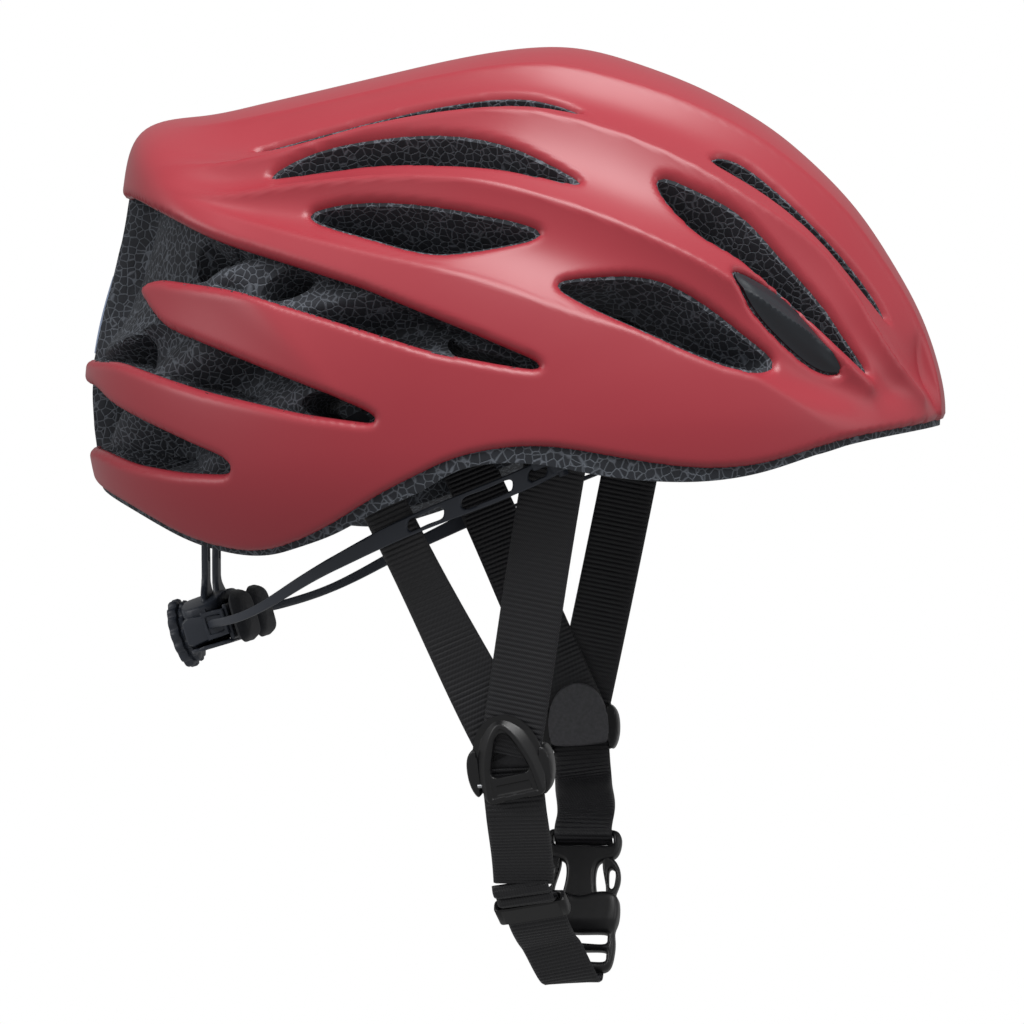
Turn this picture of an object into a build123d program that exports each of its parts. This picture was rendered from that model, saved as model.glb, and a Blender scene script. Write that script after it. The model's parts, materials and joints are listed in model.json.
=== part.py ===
from build123d import *
import math
import os

os.makedirs("parts", exist_ok=True)

# Cycling helmet, size M. Millimetres, +X forward, +Y to the wearer's left, +Z up.
# The origin is the centre of the head opening at brim level.

# ---- driving dimensions -------------------------------------------------------------
HALF_WIDTH = 104.0        # outer half width of the helmet
BODY_CENTRE = (-20.0, 12.0)   # x, z of the point that the outer form is drawn round
ROUNDNESS = 2.1           # exponent of the outer form: 2 is an ellipse, more is squarer
SHELL_WALL = 1.2
BOND_GAP = 0.3            # between shell and foam
HEAD_LENGTH = 107.0       # half length of the head cavity
HEAD_BREADTH = 80.0       # half breadth of the head cavity
HEAD_HEIGHT = 107.0       # cavity crown above its centre
HEAD_CENTRE = (-2.0, 0.0, 8.0)
SCOOP_DEPTH = 13.0        # depth of the rear foam scoops
SPINE_HALF = 16.0         # half width of the foam spine at the back
PAD_THICK = 6.0
PAD_GAP = 0.3
WEBBING_WIDTH = 20.0
WEBBING_THICK = 1.5
SLOT_CLEAR = 2.0          # all round the webbing in its foam slot
ARM_WALL = 1.3
ARM_DEPTH = 5.0
ARM_LOOP = 125.0          # half length of the arm loop
RACK_ANGLE = 14.0         # where the band ends and the straight rack begins, from the back
EYE_ANGLE = 100.0         # where the band ends at the temple
ARM_SPREAD = 84.0         # half breadth of the arm loop
TEMPLE_X = 30.0
TEMPLE_Z = 5.0
CRADLE_X = -102.6         # where the arms meet in the housing
ARM_TILT = 23.9           # degrees that the arms' plane drops towards the back
KNOB_DIA = 24.0
KNOB_THICK = 3.4
HUB_THICK = 2.8
PINION_RADIUS = 4.0
PINION_THICK = 3.0
RACK_REACH = 12.0         # the rack runs this far past the middle
RACK_TALL = 1.0
RACK_GAP = 0.3            # between the pinion's tips and a rack
EYE_RADIUS = 3.4          # eye at the front end of an arm
STUD_RADIUS = 1.6
BARREL_RADIUS = 2.5       # cross barrel of the stud, which tilts in the temple socket
SOCKET_SIZE = (12.0, 6.0, 10.0)
SHAFT_RADIUS = 1.5
RUNNING_FIT = 0.05
HOUSING_WIDTH = 42.0
HOUSING_HEIGHT = 15.0
HOUSING_THICK = 16.0
HOUSING_WALL = 1.6
HOUSING_CORNER = 5.0
RACK_OFFSET = 2.6         # racks pass this far in front of the housing's middle
RACK_PLAY = 5.0           # room for the racks behind and ahead of where they rest
REST_WIDE = 20.6          # the two small pads behind the head
REST_TALL = 17.0
REST_THICK = 5.0
REST_GAP = 1.2            # between them
SCREW_HEAD = 1.0
SCREW_RADIUS = 1.0
SCREW_INSET = 5.9         # from the ends of the housing to the lid's screws
SHIELD_THICK = 2.0        # plate of the strut that lies on the housing
LEG_WIDTH = 4.5
LEG_THICK = 1.8
LEG_SPREAD_TOP = 9.0
LEG_SPREAD_LOW = 7.0
SHIELD_WIDTH = 32.0
RAIL_WIDTH = 34.0
LEG_TOP = 22.0
LEG_ROOT = 2.2            # the legs run this far down past the top of the shield plate
LEG_X = -104.2            # the legs hang just inside the back of the cavity
DIVIDER_SIZE = 28.0
DIVIDER_PLATE = 1.8
LEVER_THICK = 2.4
PIN_RADIUS = 0.9
LAYER_GAP = 0.4           # between the two layers of webbing in a divider
BUCKLE_WIDTH = 28.0
BUCKLE_THICK = 8.0
BUCKLE_LENGTH = 30.0
PRONG_WIDTH = 3.2
PRONG_THICK = 3.4
YOKE_LENGTH = 9.0
TONGUE_REACH = 15.0       # tongue and prongs go this far into the socket
TONGUE_WIDTH = 7.0
PRONG_AT = 10.2           # from the middle of the buckle to a prong
KEEPER_LENGTH = 7.0
KEEPER_WALL = 1.8
CLEAR = 0.3
FAR = 400.0               # longer than the helmet in every direction

# side view of the outer form, x and z, round from the tail over the crown
FORM_OUTLINE = [
    (-124, 114.5), (-104, 119.3), (-85, 122.8), (-71, 125.8), (-37, 133.2), (-10, 138.6), (20, 140.8),
    (43, 135.3), (64, 127), (84, 115.8), (97, 105.8), (114, 88.7), (127, 70), (137.5, 50.5), (144, 30),
    (145, 16), (138, -15), (110, -45), (60, -66), (0, -75), (-60, -68), (-110, -45), (-136, -15),
    (-143, 10), (-143.5, 35), (-138, 60), (-130.5, 92),
]
# lower edge of the shell and of the foam from front to back, x and z
SHELL_RIM = [
    (152, 19), (143, 17), (120, 12.8), (97, 6), (74, 4.7), (47, 9), (26, 11.5), (4, 8.3), (-9, 2.8),
    (-22, -3.9), (-36, -12.3), (-46, -17.6), (-54, -20.8), (-60, -22.6), (-68, -23.6), (-78, -22.8),
    (-93, -19.2), (-114, -10.8), (-135, -4.5), (-152, 0),
]
FOAM_RIM = [
    (152, 17.5), (143, 15.5), (120, 10.8), (97, 3.2), (74, 0.2), (47, 2.6), (26, 6.2), (4, 4.2),
    (-9, -2.8), (-22, -8.6), (-36, -16), (-46, -20), (-54, -22.6), (-60, -24.2), (-68, -25), (-78, -24.2),
    (-93, -20.7), (-114, -12.4), (-135, -6), (-152, -2),
]
# vents seen from the side, x and z
SIDE_VENTS = {
    "crown": [(-67, 100), (-56, 106), (-36, 111), (-13, 113), (7, 111), (24, 105), (37, 97),
              (18, 100), (-11, 103), (-41, 103)],
    "side": [(-51, 87), (-42, 90), (-19, 90), (7, 86), (26, 80), (14, 76), (-7, 73), (-28, 78)],
    "temple": [(33, 63), (45, 66), (63, 65), (80, 56), (94, 45), (100, 38), (95, 35), (76, 40),
               (55, 50)],
    "brow": [(61, 98), (73, 94), (88, 85), (104, 69), (118, 52), (128, 34), (121, 41), (104, 58),
             (86, 74), (75, 81)],
}
# vents seen from above, x and y
TOP_VENTS = {
    "ridge": [(-76, -53), (-40, -56), (-13, -57), (8, -57.5), (34, -53), (20, -50.5), (-10, -49),
              (-45, -49)],
    "nose": [(77, -46), (93, -42), (108, -38), (124, -31), (133, -23), (125, -25), (112, -31),
             (94, -35), (80, -40)],
}
TRIM_OUTLINE = [(86, 67), (93, 65), (105, 56), (115, 42), (119, 35), (115, 35), (102, 45), (90, 58)]
TRIM_GAP = 0.4
# rear openings seen from the side, x and z: the upper one holds the tip of the first rib
UPPER_OPENING = [
    (-155, 92), (-119, 91), (-90, 81), (-59, 71), (-30, 62), (3, 49), (29, 38), (29, 35),
    (16, 37), (-6, 41), (-32, 49), (-65, 59), (-105, 64), (-112, 61), (-100, 49), (-76, 41),
    (-48, 31), (-31, 25), (-22, 21), (-23, 18), (-47, 21), (-83, 28), (-119, 37), (-155, 37),
]
LOWER_OPENING = [
    (-155, 30), (-131, 29), (-121, 23), (-98, 15), (-81, 9), (-72, 6), (-72, 1), (-91, 1),
    (-112, 3), (-130, 7), (-155, 7),
]
# openings that go right through the foam inside the scoops, x and z
FOAM_WINDOWS = [
    [(-2, 48), (6, 45), (25, 38), (24, 36.5), (0, 41)],
    [(-66, 61), (-57, 70), (-47, 67), (-54, 60)],
    [(-104, 66), (-98, 80), (-86, 76), (-90, 64)],
    [(-50, 23), (-46, 29), (-30, 24), (-26, 19)],
]
# where the webbing leaves the foam and where it meets the dividers (right side)
FRONT_ANCHOR = Vector(34, -81, 30)
REAR_ANCHOR = Vector(-39, -77, 16)
DIVIDER_POINT = Vector(12, -64, -89)
BUCKLE_POINT = Vector(21, 16, -142)   # where the two halves of the buckle meet
BUCKLE_DOWN = Vector(0.017, -0.42, -0.907).normalized()


# ---- the outer form -------------------------------------------------------------------
def form_section(side, inset):
    """Outline of the outer form, drawn in by inset, at a distance side from the middle."""
    cx, cz = BODY_CENTRE
    width = HALF_WIDTH - inset
    share = (1.0 - (abs(side) / width) ** ROUNDNESS) ** (1.0 / ROUNDNESS)
    points = []
    for x, z in FORM_OUTLINE:
        reach = math.hypot(x - cx, z - cz)
        scale_by = share * (reach - inset) / reach
        points.append(Vector(cx + (x - cx) * scale_by, side, cz + (z - cz) * scale_by))
    return Wire([Edge.make_spline(points, periodic=True)])


def form_solid(inset):
    """The whole outer form as one lofted solid."""
    width = HALF_WIDTH - inset
    shares = [0.0, 0.3, 0.55, 0.75, 0.88, 0.95, 0.985]
    sides = [-width * s for s in reversed(shares)] + [width * s for s in shares[1:]]
    return Solid.make_loft([form_section(side, inset) for side in sides])


def form_reach(angle):
    """Distance from the body centre to the side outline at an angle, by straight steps."""
    cx, cz = BODY_CENTRE
    polar = sorted((math.atan2(z - cz, x - cx), math.hypot(x - cx, z - cz)) for x, z in FORM_OUTLINE)
    polar = [(polar[-1][0] - 2 * math.pi, polar[-1][1])] + polar
    polar.append((polar[1][0] + 2 * math.pi, polar[1][1]))
    for (low, near), (high, far) in zip(polar, polar[1:]):
        if low <= angle <= high:
            return near + (far - near) * (angle - low) / (high - low)
    return polar[0][1]


def form_value(x, y, z):
    """Below 1 inside the outer form, above 1 outside it."""
    cx, cz = BODY_CENTRE
    reach = form_reach(math.atan2(z - cz, x - cx))
    flat = math.hypot(x - cx, z - cz) / reach
    return flat ** ROUNDNESS + (abs(y) / HALF_WIDTH) ** ROUNDNESS


def lift_side(x, z):
    """Point of the right half of the outer form above a place in the side view."""
    cx, cz = BODY_CENTRE
    flat = math.hypot(x - cx, z - cz) / form_reach(math.atan2(z - cz, x - cx))
    return Vector(x, -HALF_WIDTH * (1.0 - flat ** ROUNDNESS) ** (1.0 / ROUNDNESS), z)


def lift_top(x, y):
    """Point of the outer form above a place in the plan view."""
    low, high = BODY_CENTRE[1], 160.0
    for _ in range(40):
        middle = (low + high) / 2
        if form_value(x, y, middle) < 1.0:
            low = middle
        else:
            high = middle
    return Vector(x, y, low)


def cut_prism(points, out=25.0, depth=70.0, grow=0.0):
    """Prism through the wall, square to the form, over an outline that lies on the form."""
    centre = sum(points, Vector(0, 0, 0)) / len(points)
    inward = (Vector(centre.X * 0.35, 0, 20) - centre).normalized()
    plane = Plane(origin=centre, z_dir=inward)
    flat = []
    for point in points:
        local = plane.to_local_coords(point)
        reach = math.hypot(local.X, local.Y)
        flat.append(Vector(local.X, local.Y, 0) * ((reach + grow) / reach))
    face = Face(Wire([Edge.make_spline(flat, periodic=True)]))
    solid = extrude(Pos(0, 0, -out) * face, amount=depth + out, dir=(0, 0, 1))
    return plane.location * solid


def both_sides(solid):
    return [solid, solid.mirror(Plane.XZ)]


def vent_tools():
    tools = []
    for outline in SIDE_VENTS.values():
        tools += both_sides(cut_prism([lift_side(x, z) for x, z in outline]))
    for outline in TOP_VENTS.values():
        tools += both_sides(cut_prism([lift_top(x, y) for x, y in outline]))
    return tools


def above_rim(rim):
    """Everything above a rim drawn in the side view."""
    edge = Edge.make_spline([Vector(x, 0, z) for x, z in rim])
    first, last = edge @ 0, edge @ 1
    roof = Wire.make_polygon([last, Vector(last.X, 0, 170), Vector(first.X, 0, 170), first], close=False)
    face = Face(Wire([edge] + list(roof.edges())))
    return extrude(face, amount=150, dir=(0, 1, 0), both=True)


def side_prism(outline, half=150.0):
    face = make_face(Polyline(*[(x, 0, z) for x, z in outline], close=True))
    return extrude(face, amount=half, dir=(0, 1, 0), both=True)


def head_form(inset):
    """The head cavity, or a smaller copy of it for what lines it."""
    a, b, c = HEAD_LENGTH - inset, HEAD_BREADTH - inset, HEAD_HEIGHT - inset
    dome = scale(Sphere(1.0), by=(a, b, c))
    skirt = extrude(Ellipse(a, b), amount=-90)
    return Pos(*HEAD_CENTRE) * (dome + skirt)


# ---- shell, foam and trim -----------------------------------------------------------
def outer_shell():
    wall = form_solid(0.0) - form_solid(SHELL_WALL)
    wall = wall & above_rim(SHELL_RIM)
    trims = both_sides(cut_prism([lift_side(x, z) for x, z in TRIM_OUTLINE], depth=12))
    for tool in vent_tools() + trims + [side_prism(UPPER_OPENING), side_prism(LOWER_OPENING)]:
        wall = wall - tool
    return max(wall.solids(), key=lambda s: s.volume)


def strap_slot(anchor):
    """Slot in the foam round the webbing and its anchor."""
    down = (DIVIDER_POINT - anchor).normalized()
    plane = Plane(origin=anchor, x_dir=down.cross(Vector(0, 1, 0)), z_dir=down)
    wide = WEBBING_WIDTH + 2 * SLOT_CLEAR
    slot = Pos(0, 0, 30) * Box(wide, WEBBING_THICK + 2 * SLOT_CLEAR, 80)
    return plane.location * slot


def foam_liner():
    body = form_solid(SHELL_WALL + BOND_GAP) & above_rim(FOAM_RIM)
    body = body - head_form(0.0)
    scoops = side_prism(UPPER_OPENING) + side_prism(LOWER_OPENING)
    scoops = scoops - form_solid(SHELL_WALL + BOND_GAP + SCOOP_DEPTH)
    spine = Box(FAR, 2 * SPINE_HALF, FAR)
    scoops = scoops - spine
    windows = [side_prism(w) - spine for w in FOAM_WINDOWS]
    slots = []
    for anchor in (FRONT_ANCHOR, REAR_ANCHOR):
        slots += both_sides(strap_slot(anchor))
    rail = Pos(-HEAD_LENGTH - 0.5, 0, 12) * Box(9, RAIL_WIDTH + 4, 46)
    for tool in [scoops, rail] + windows + slots + vent_tools() + both_sides(temple_pocket()):
        body = body - tool
    return max(body.solids(), key=lambda s: s.volume)


def temple_pocket():
    """Room in the foam for the arm's eye, its stud and the socket."""
    eye_room = Pos(EYE_X - 8, EYE_Y, 2) * Box(32, 8.4, ARM_DEPTH + 12)
    socket_room = Pos(EYE_X, EYE_Y - 8.6, BARREL_RISE) * Box(12.4, 10.4, 10.4)
    return ARM_FRAME.location * (eye_room + socket_room)


def trim_plate():
    skin = form_solid(0.0) - form_solid(SHELL_WALL)
    tool = cut_prism([lift_side(x, z) for x, z in TRIM_OUTLINE], depth=12, grow=-TRIM_GAP)
    return max((skin & tool).solids(), key=lambda s: s.volume)


def rear_reflector():
    """Patch on the spine, standing proud of the foam."""
    inner = SHELL_WALL + BOND_GAP
    skin = form_solid(inner - 0.8) - form_solid(inner)
    patch = skin & (Pos(-140, 0, 52) * Box(40, 2 * SPINE_HALF - 8, 26))
    return max(patch.solids(), key=lambda s: s.volume)


def pad(region):
    skin = head_form(PAD_GAP) - head_form(PAD_GAP + PAD_THICK)
    return max((skin & region).solids(), key=lambda s: s.volume)


def brow_pad():
    return pad(Pos(90, 0, 19) * Box(70, 112, 20))


def crown_pad():
    return pad(Pos(-5, 0, 110) * Box(110, 24, 60))


def side_pad():
    return pad(Pos(2, -70, 62) * Box(84, 60, 22))


def hook_dots():
    """Thin discs between foam and pads."""
    skin = head_form(0.02) - head_form(PAD_GAP - 0.02)
    spots = [Pos(60, 0, 100) * Cylinder(7, 80), Pos(-5, 0, 100) * Cylinder(7, 80)]
    spots += [Pos(85, 0, 19) * Rot(0, 90, 0) * Cylinder(7, 60)]
    spots += [Pos(2, side * 80, 62) * Rot(90, 0, 0) * Cylinder(7, 60) for side in (-1, 1)]
    discs = []
    for spot in spots:
        discs += (skin & spot).solids()
    return discs


# ---- retention system --------------------------------------------------------------
def arm_plane():
    """Plane of the arms: local x forwards, local y to the left, local z square to the arms."""
    tilt = math.radians(ARM_TILT)
    forward = Vector(math.cos(tilt), 0, math.sin(tilt))
    square = Vector(-math.sin(tilt), 0, math.cos(tilt))
    return Plane(origin=(TEMPLE_X, 0, TEMPLE_Z), x_dir=forward, z_dir=square)


ARM_FRAME = arm_plane()
ARM_BACK = (CRADLE_X - TEMPLE_X) / math.cos(math.radians(ARM_TILT))   # back of the loop, local x
KNOB_DIR = Vector(-0.957, 0, -0.29).normalized()


def arm_point(degrees, radius_add=0.0):
    """Point of the right arm's loop in the arms' plane; 0 degrees is the back."""
    turn = math.radians(degrees)
    return (ARM_BACK + ARM_LOOP - (ARM_LOOP + radius_add) * math.cos(turn),
            -(ARM_SPREAD + radius_add) * math.sin(turn))


RACK_X = arm_point(RACK_ANGLE)[0]
EYE_X, EYE_Y = arm_point(EYE_ANGLE)
BARREL_RISE = ARM_DEPTH / 2 + 3.2      # the stud's barrel above the arms' plane
HOUSING_AT = ARM_FRAME.from_local_coords(Vector(RACK_X, 0, 0)) + KNOB_DIR * RACK_OFFSET


def arm_band():
    """The right arm: a thin band on edge with windows, running into a rack at the back."""
    turns = [RACK_ANGLE + (EYE_ANGLE - RACK_ANGLE) * step / 8 for step in range(9)]
    outer = [arm_point(a, ARM_WALL / 2) for a in turns]
    inner = [arm_point(a, -ARM_WALL / 2) for a in turns]
    outline = Spline(*outer) + Line(outer[-1], inner[-1]) + Spline(*inner) + Line(inner[0], outer[0])
    band = extrude(make_face(outline), amount=ARM_DEPTH / 2, both=True)
    for angle, length in ((76, 9), (84, 12), (92, 8)):
        x, y = arm_point(angle)
        band = band - Pos(x, y, 0) * Rot(0, 0, 90 - angle) * Box(length, 8, 2.2)
    return band


def whole_arm(high, mirrored):
    """Band, eye and the straight rack that passes the pinion above or below."""
    _, start_y = arm_point(RACK_ANGLE)
    rack = Box(ARM_WALL, RACK_REACH - start_y, RACK_TALL)
    local = arm_band() + Pos(RACK_X, (start_y + RACK_REACH) / 2, high) * rack
    local += Pos(RACK_X, start_y, high / 2) * Box(ARM_WALL, 3, abs(high) + RACK_TALL)
    eye = Pos(EYE_X, EYE_Y, 0)
    local = local - eye * Cylinder(EYE_RADIUS - 0.1, 30) + eye * Cylinder(EYE_RADIUS, ARM_DEPTH)
    local = local - eye * Cylinder(STUD_RADIUS + RUNNING_FIT, ARM_DEPTH * 3)
    if mirrored:
        local = local.mirror(Plane.XZ)
    return max((ARM_FRAME.location * local).solids(), key=lambda s: s.volume)


def pivot_stud():
    """Stud with a round shank through the arm's eye and a cross barrel in the temple anchor."""
    shank = Pos(EYE_X, EYE_Y, 0) * Cylinder(STUD_RADIUS, ARM_DEPTH + 3)
    head = Pos(EYE_X, EYE_Y, ARM_DEPTH / 2 + 1.1) * Cylinder(2.6, 1.4)
    stem = Pos(EYE_X, EYE_Y - 3.0, BARREL_RISE) * Box(3.0, 9.0, 3.0)
    barrel = Pos(EYE_X, EYE_Y - 9.5, BARREL_RISE) * Rot(90, 0, 0) * Cylinder(BARREL_RADIUS, 5)
    return ARM_FRAME.location * (shank + head + stem + barrel)


def temple_anchor():
    """Socket in the foam for the stud's barrel."""
    bore = Rot(90, 0, 0) * Cylinder(BARREL_RADIUS + RUNNING_FIT, 20)
    return ARM_FRAME.location * (Pos(EYE_X, EYE_Y - 9.7, BARREL_RISE) * (Box(*SOCKET_SIZE) - bore))


def housing_plane():
    """Local z points backwards along the dial's axis, local x to the right hand side."""
    return Plane(origin=HOUSING_AT, x_dir=Vector(0, -1, 0), z_dir=KNOB_DIR)


HOUSING_FRAME = housing_plane()


def dial_housing():
    """Winder case: open towards the head, with a slot at each end for the racks."""
    body = Box(HOUSING_WIDTH, HOUSING_HEIGHT, HOUSING_THICK)
    body = fillet(body.edges().filter_by(Axis.Z), HOUSING_CORNER)
    inner_width, inner_height = HOUSING_WIDTH - 2 * HOUSING_WALL, HOUSING_HEIGHT - 2 * HOUSING_WALL
    room = Pos(0, 0, -HOUSING_WALL) * Box(inner_width, inner_height, HOUSING_THICK)
    slots = Box(HOUSING_WIDTH + 10, inner_height, 3 * RACK_PLAY)
    slots = Pos(0, 0, -RACK_OFFSET - RACK_PLAY / 2) * slots
    bore = Cylinder(SHAFT_RADIUS + RUNNING_FIT, 60)
    body = body - room - slots - bore
    return HOUSING_FRAME.location * body


def housing_cover():
    lid = Box(HOUSING_WIDTH, HOUSING_HEIGHT, HOUSING_WALL)
    lid = fillet(lid.edges().filter_by(Axis.Z), HOUSING_CORNER)
    at = -HOUSING_THICK / 2 - HOUSING_WALL / 2
    out = HOUSING_WIDTH / 2 - SCREW_INSET
    holes = [Pos(side * out, 0, at) * Cylinder(SCREW_RADIUS + 0.1, 10) for side in (-1, 1)]
    return HOUSING_FRAME.location * (Pos(0, 0, at) * lid - holes)


def housing_screws():
    """Short screws whose heads stand on the lid."""
    out = HOUSING_WIDTH / 2 - SCREW_INSET
    shank = Pos(0, 0, HOUSING_WALL / 2) * Cylinder(SCREW_RADIUS, HOUSING_WALL)
    screw = shank + Pos(0, 0, -SCREW_HEAD / 2) * Cylinder(1.9, SCREW_HEAD)
    base = -HOUSING_THICK / 2 - HOUSING_WALL
    return [HOUSING_FRAME.location * (Pos(side * out, 0, base) * screw) for side in (-1, 1)]


def dial_shaft_parts():
    """Knob, pinion and screw on the dial's axis."""
    top = HOUSING_THICK / 2
    rim = Cylinder(KNOB_DIA / 2, KNOB_THICK)
    scallop = Pos(KNOB_DIA / 2 + 1.2, 0, 0) * Cylinder(2.2, KNOB_THICK * 2)
    bite = [Rot(0, 0, turn) * scallop for turn in range(0, 360, 24)]
    knob = Pos(0, 0, top + CLEAR + HUB_THICK + KNOB_THICK / 2) * (rim - bite)
    hub = Pos(0, 0, top + CLEAR + HUB_THICK / 2) * Cylinder(KNOB_DIA * 0.38, HUB_THICK)
    face = top + CLEAR + HUB_THICK + KNOB_THICK
    knob = knob + hub - Cylinder(SHAFT_RADIUS, 60) - Pos(0, 0, face - 0.7) * Cylinder(2.8, 1.6)
    tooth = Pos(PINION_RADIUS - 0.7, 0, 0) * Box(1.4, 0.9, PINION_THICK)
    pinion = Cylinder(PINION_RADIUS - 1.2, PINION_THICK)
    for turn in range(0, 360, 36):
        pinion = pinion + Rot(0, 0, turn) * tooth
    pinion = Pos(0, 0, -RACK_OFFSET) * (pinion - Cylinder(SHAFT_RADIUS, 20))
    screw_head = Pos(0, 0, face - 0.8) * Cylinder(2.6, 1.4)
    low = -RACK_OFFSET - 2.0
    shank = Pos(0, 0, (low + face - 1.5) / 2) * Cylinder(SHAFT_RADIUS, face - 1.5 - low)
    screw = shank + screw_head
    return [HOUSING_FRAME.location * p for p in (knob, pinion, screw)]


def detent_spring():
    """Flat spring ring round the pinion that gives the dial its clicks."""
    ring = Cylinder(5.6, 0.5) - Cylinder(4.5, 2)
    return HOUSING_FRAME.location * (Pos(0, 0, HOUSING_THICK / 2 - HOUSING_WALL - 0.35) * ring)


def yoke_strut():
    """Shield plate that lies on the housing, and the two legs that rise from it."""
    lift = HOUSING_HEIGHT / 2 + SHIELD_THICK / 2 + 0.02
    shield = Pos(0, lift, -1.0) * Box(SHIELD_WIDTH, SHIELD_THICK, HOUSING_THICK - 2.5)
    whole = HOUSING_FRAME.location * shield
    foot_z = HOUSING_AT.Z + lift + SHIELD_THICK
    for side in (-1, 1):
        low = Vector(LEG_X, side * LEG_SPREAD_LOW, foot_z - LEG_ROOT)
        high = Vector(LEG_X, side * LEG_SPREAD_TOP, LEG_TOP)
        run = high - low
        plane = Plane(origin=low, x_dir=Vector(1, 0, 0), z_dir=run.normalized())
        whole += plane.location * Pos(0, 0, run.length / 2) * Box(LEG_THICK, LEG_WIDTH, run.length)
    return max(whole.solids(), key=lambda s: s.volume)


def height_rail():
    """Toothed rail bonded in the back of the cavity, behind the legs."""
    rail = Pos(-HEAD_LENGTH - 2.6, 0, 10) * Box(3.0, RAIL_WIDTH, 36)
    teeth = [Pos(-HEAD_LENGTH - 1.1, 0, z) * Box(0.6, RAIL_WIDTH, 1.5) for z in range(-4, 28, 4)]
    for tooth in teeth:
        rail = rail + tooth
    return rail


def occipital_pad(side):
    """Small pad on the inner face of the housing, on the heads of its screws."""
    body = fillet(Box(REST_WIDE, REST_TALL, REST_THICK).edges(), 2.0)
    back = HOUSING_THICK / 2 + HOUSING_WALL + SCREW_HEAD
    at = Pos(-side * (REST_WIDE + REST_GAP) / 2, 0.5, -back - REST_THICK / 2)
    return HOUSING_FRAME.location * (at * body)


# ---- webbing, dividers and buckle ---------------------------------------------------
def ribbon(points, across, width=WEBBING_WIDTH, thick=WEBBING_THICK):
    """Flat band through points, with its width along across at each point."""
    sections = []
    for index, point in enumerate(points):
        before = points[max(index - 1, 0)]
        after = points[min(index + 1, len(points) - 1)]
        along = (after - before).normalized()
        wide = across[index] if isinstance(across, list) else across
        face_out = along.cross(wide).normalized()
        side = face_out.cross(along).normalized() * (width / 2)
        rise = face_out * (thick / 2)
        corners = [point - side - rise, point + side - rise, point + side + rise, point - side + rise]
        sections.append(Wire.make_polygon(corners, close=True))
    return Solid.make_loft(sections, ruled=True)


DIVIDER_OUT = (REAR_ANCHOR - DIVIDER_POINT).cross(FRONT_ANCHOR - DIVIDER_POINT).normalized() * -1


def divider_plane():
    """Local x forwards, local y up the straps, local z away from the head (right side)."""
    return Plane(origin=DIVIDER_POINT, x_dir=Vector(1, 0, 0.09), z_dir=DIVIDER_OUT)


DIVIDER_FRAME = divider_plane()


def upper_strap(anchor, layer):
    """Webbing from its foam anchor to the divider; the two layers lie one on the other."""
    end = DIVIDER_FRAME.from_local_coords(Vector(0, 2.0, layer * (WEBBING_THICK / 2 + LAYER_GAP)))
    start = anchor + (end - anchor).normalized() * 6.0
    middle = start + (end - start) * 0.5
    near_end = start + (end - start) * 0.93
    across = (end - anchor).normalized().cross(DIVIDER_OUT)
    return ribbon([start, middle, near_end, end], across)


def strap_anchor(anchor):
    """Moulded block in the foam that holds the top of a strap."""
    down = (DIVIDER_POINT - anchor).normalized()
    plane = Plane(origin=anchor, x_dir=down.cross(Vector(0, 1, 0)), z_dir=down)
    return plane.location * Pos(0, 0, 1.0) * Box(WEBBING_WIDTH + 2, WEBBING_THICK + 2, 8.0)


STACK_HALF = WEBBING_THICK + LAYER_GAP + CLEAR     # half of the webbing stack, with play
PIN_AT = (0, -DIVIDER_SIZE / 2 + 3.5, STACK_HALF + LEVER_THICK / 2)


def divider_base():
    """Plate behind the webbing with two ears that carry the pin."""
    half = DIVIDER_SIZE / 2
    outline = Polyline((-half, -6), (-half * 0.75, -half), (half * 0.75, -half), (half, -6),
                       (half * 0.5, half), (-half * 0.5, half), close=True)
    low = -STACK_HALF - CLEAR - DIVIDER_PLATE
    body = Pos(0, 0, low) * extrude(make_face(outline), amount=DIVIDER_PLATE)
    tall = STACK_HALF + LEVER_THICK - low
    for side in (-1, 1):
        body += Pos(side * (WEBBING_WIDTH / 2 + 1.9), PIN_AT[1], low + tall / 2) * Box(2.2, 5, tall)
    body = body - Pos(*PIN_AT) * Rot(0, 90, 0) * Cylinder(PIN_RADIUS + RUNNING_FIT, 60)
    return DIVIDER_FRAME.location * body


def divider_pin():
    """Pin through both ears and the lever."""
    pin = Cylinder(PIN_RADIUS, WEBBING_WIDTH + 5.6)
    return DIVIDER_FRAME.location * (Pos(*PIN_AT) * Rot(0, 90, 0) * pin)


def divider_lever():
    """Arched lever with a window, between the ears."""
    half = DIVIDER_SIZE / 2
    wide = WEBBING_WIDTH / 2 - 0.4
    outline = Polyline((-wide, -half + 2.3), (wide, -half + 2.3), (wide, -half + 6), (4.5, half + 2),
                       (-4.5, half + 2), (-wide, -half + 6), close=True)
    plate = extrude(make_face(outline), amount=LEVER_THICK)
    opening = Polyline((-5.0, -3), (5.0, -3), (1.5, 8), (-1.5, 8), close=True)
    window = extrude(make_face(opening), amount=20, both=True)
    body = Pos(0, 0, STACK_HALF) * plate - window
    body = body - Pos(*PIN_AT) * Rot(0, 90, 0) * Cylinder(PIN_RADIUS + RUNNING_FIT, 60)
    return DIVIDER_FRAME.location * body


BUCKLE_FRAME = Plane(origin=BUCKLE_POINT, x_dir=Vector(1, 0, 0), z_dir=BUCKLE_DOWN.cross(Vector(1, 0, 0)))
YOKE_BASE = 9.0            # from the joint line of the buckle up to the yoke


def local_box(wide, tall, thick, u=0.0, v=0.0, w=0.0):
    return Pos(u, v, w) * Box(wide, tall, thick)


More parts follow.
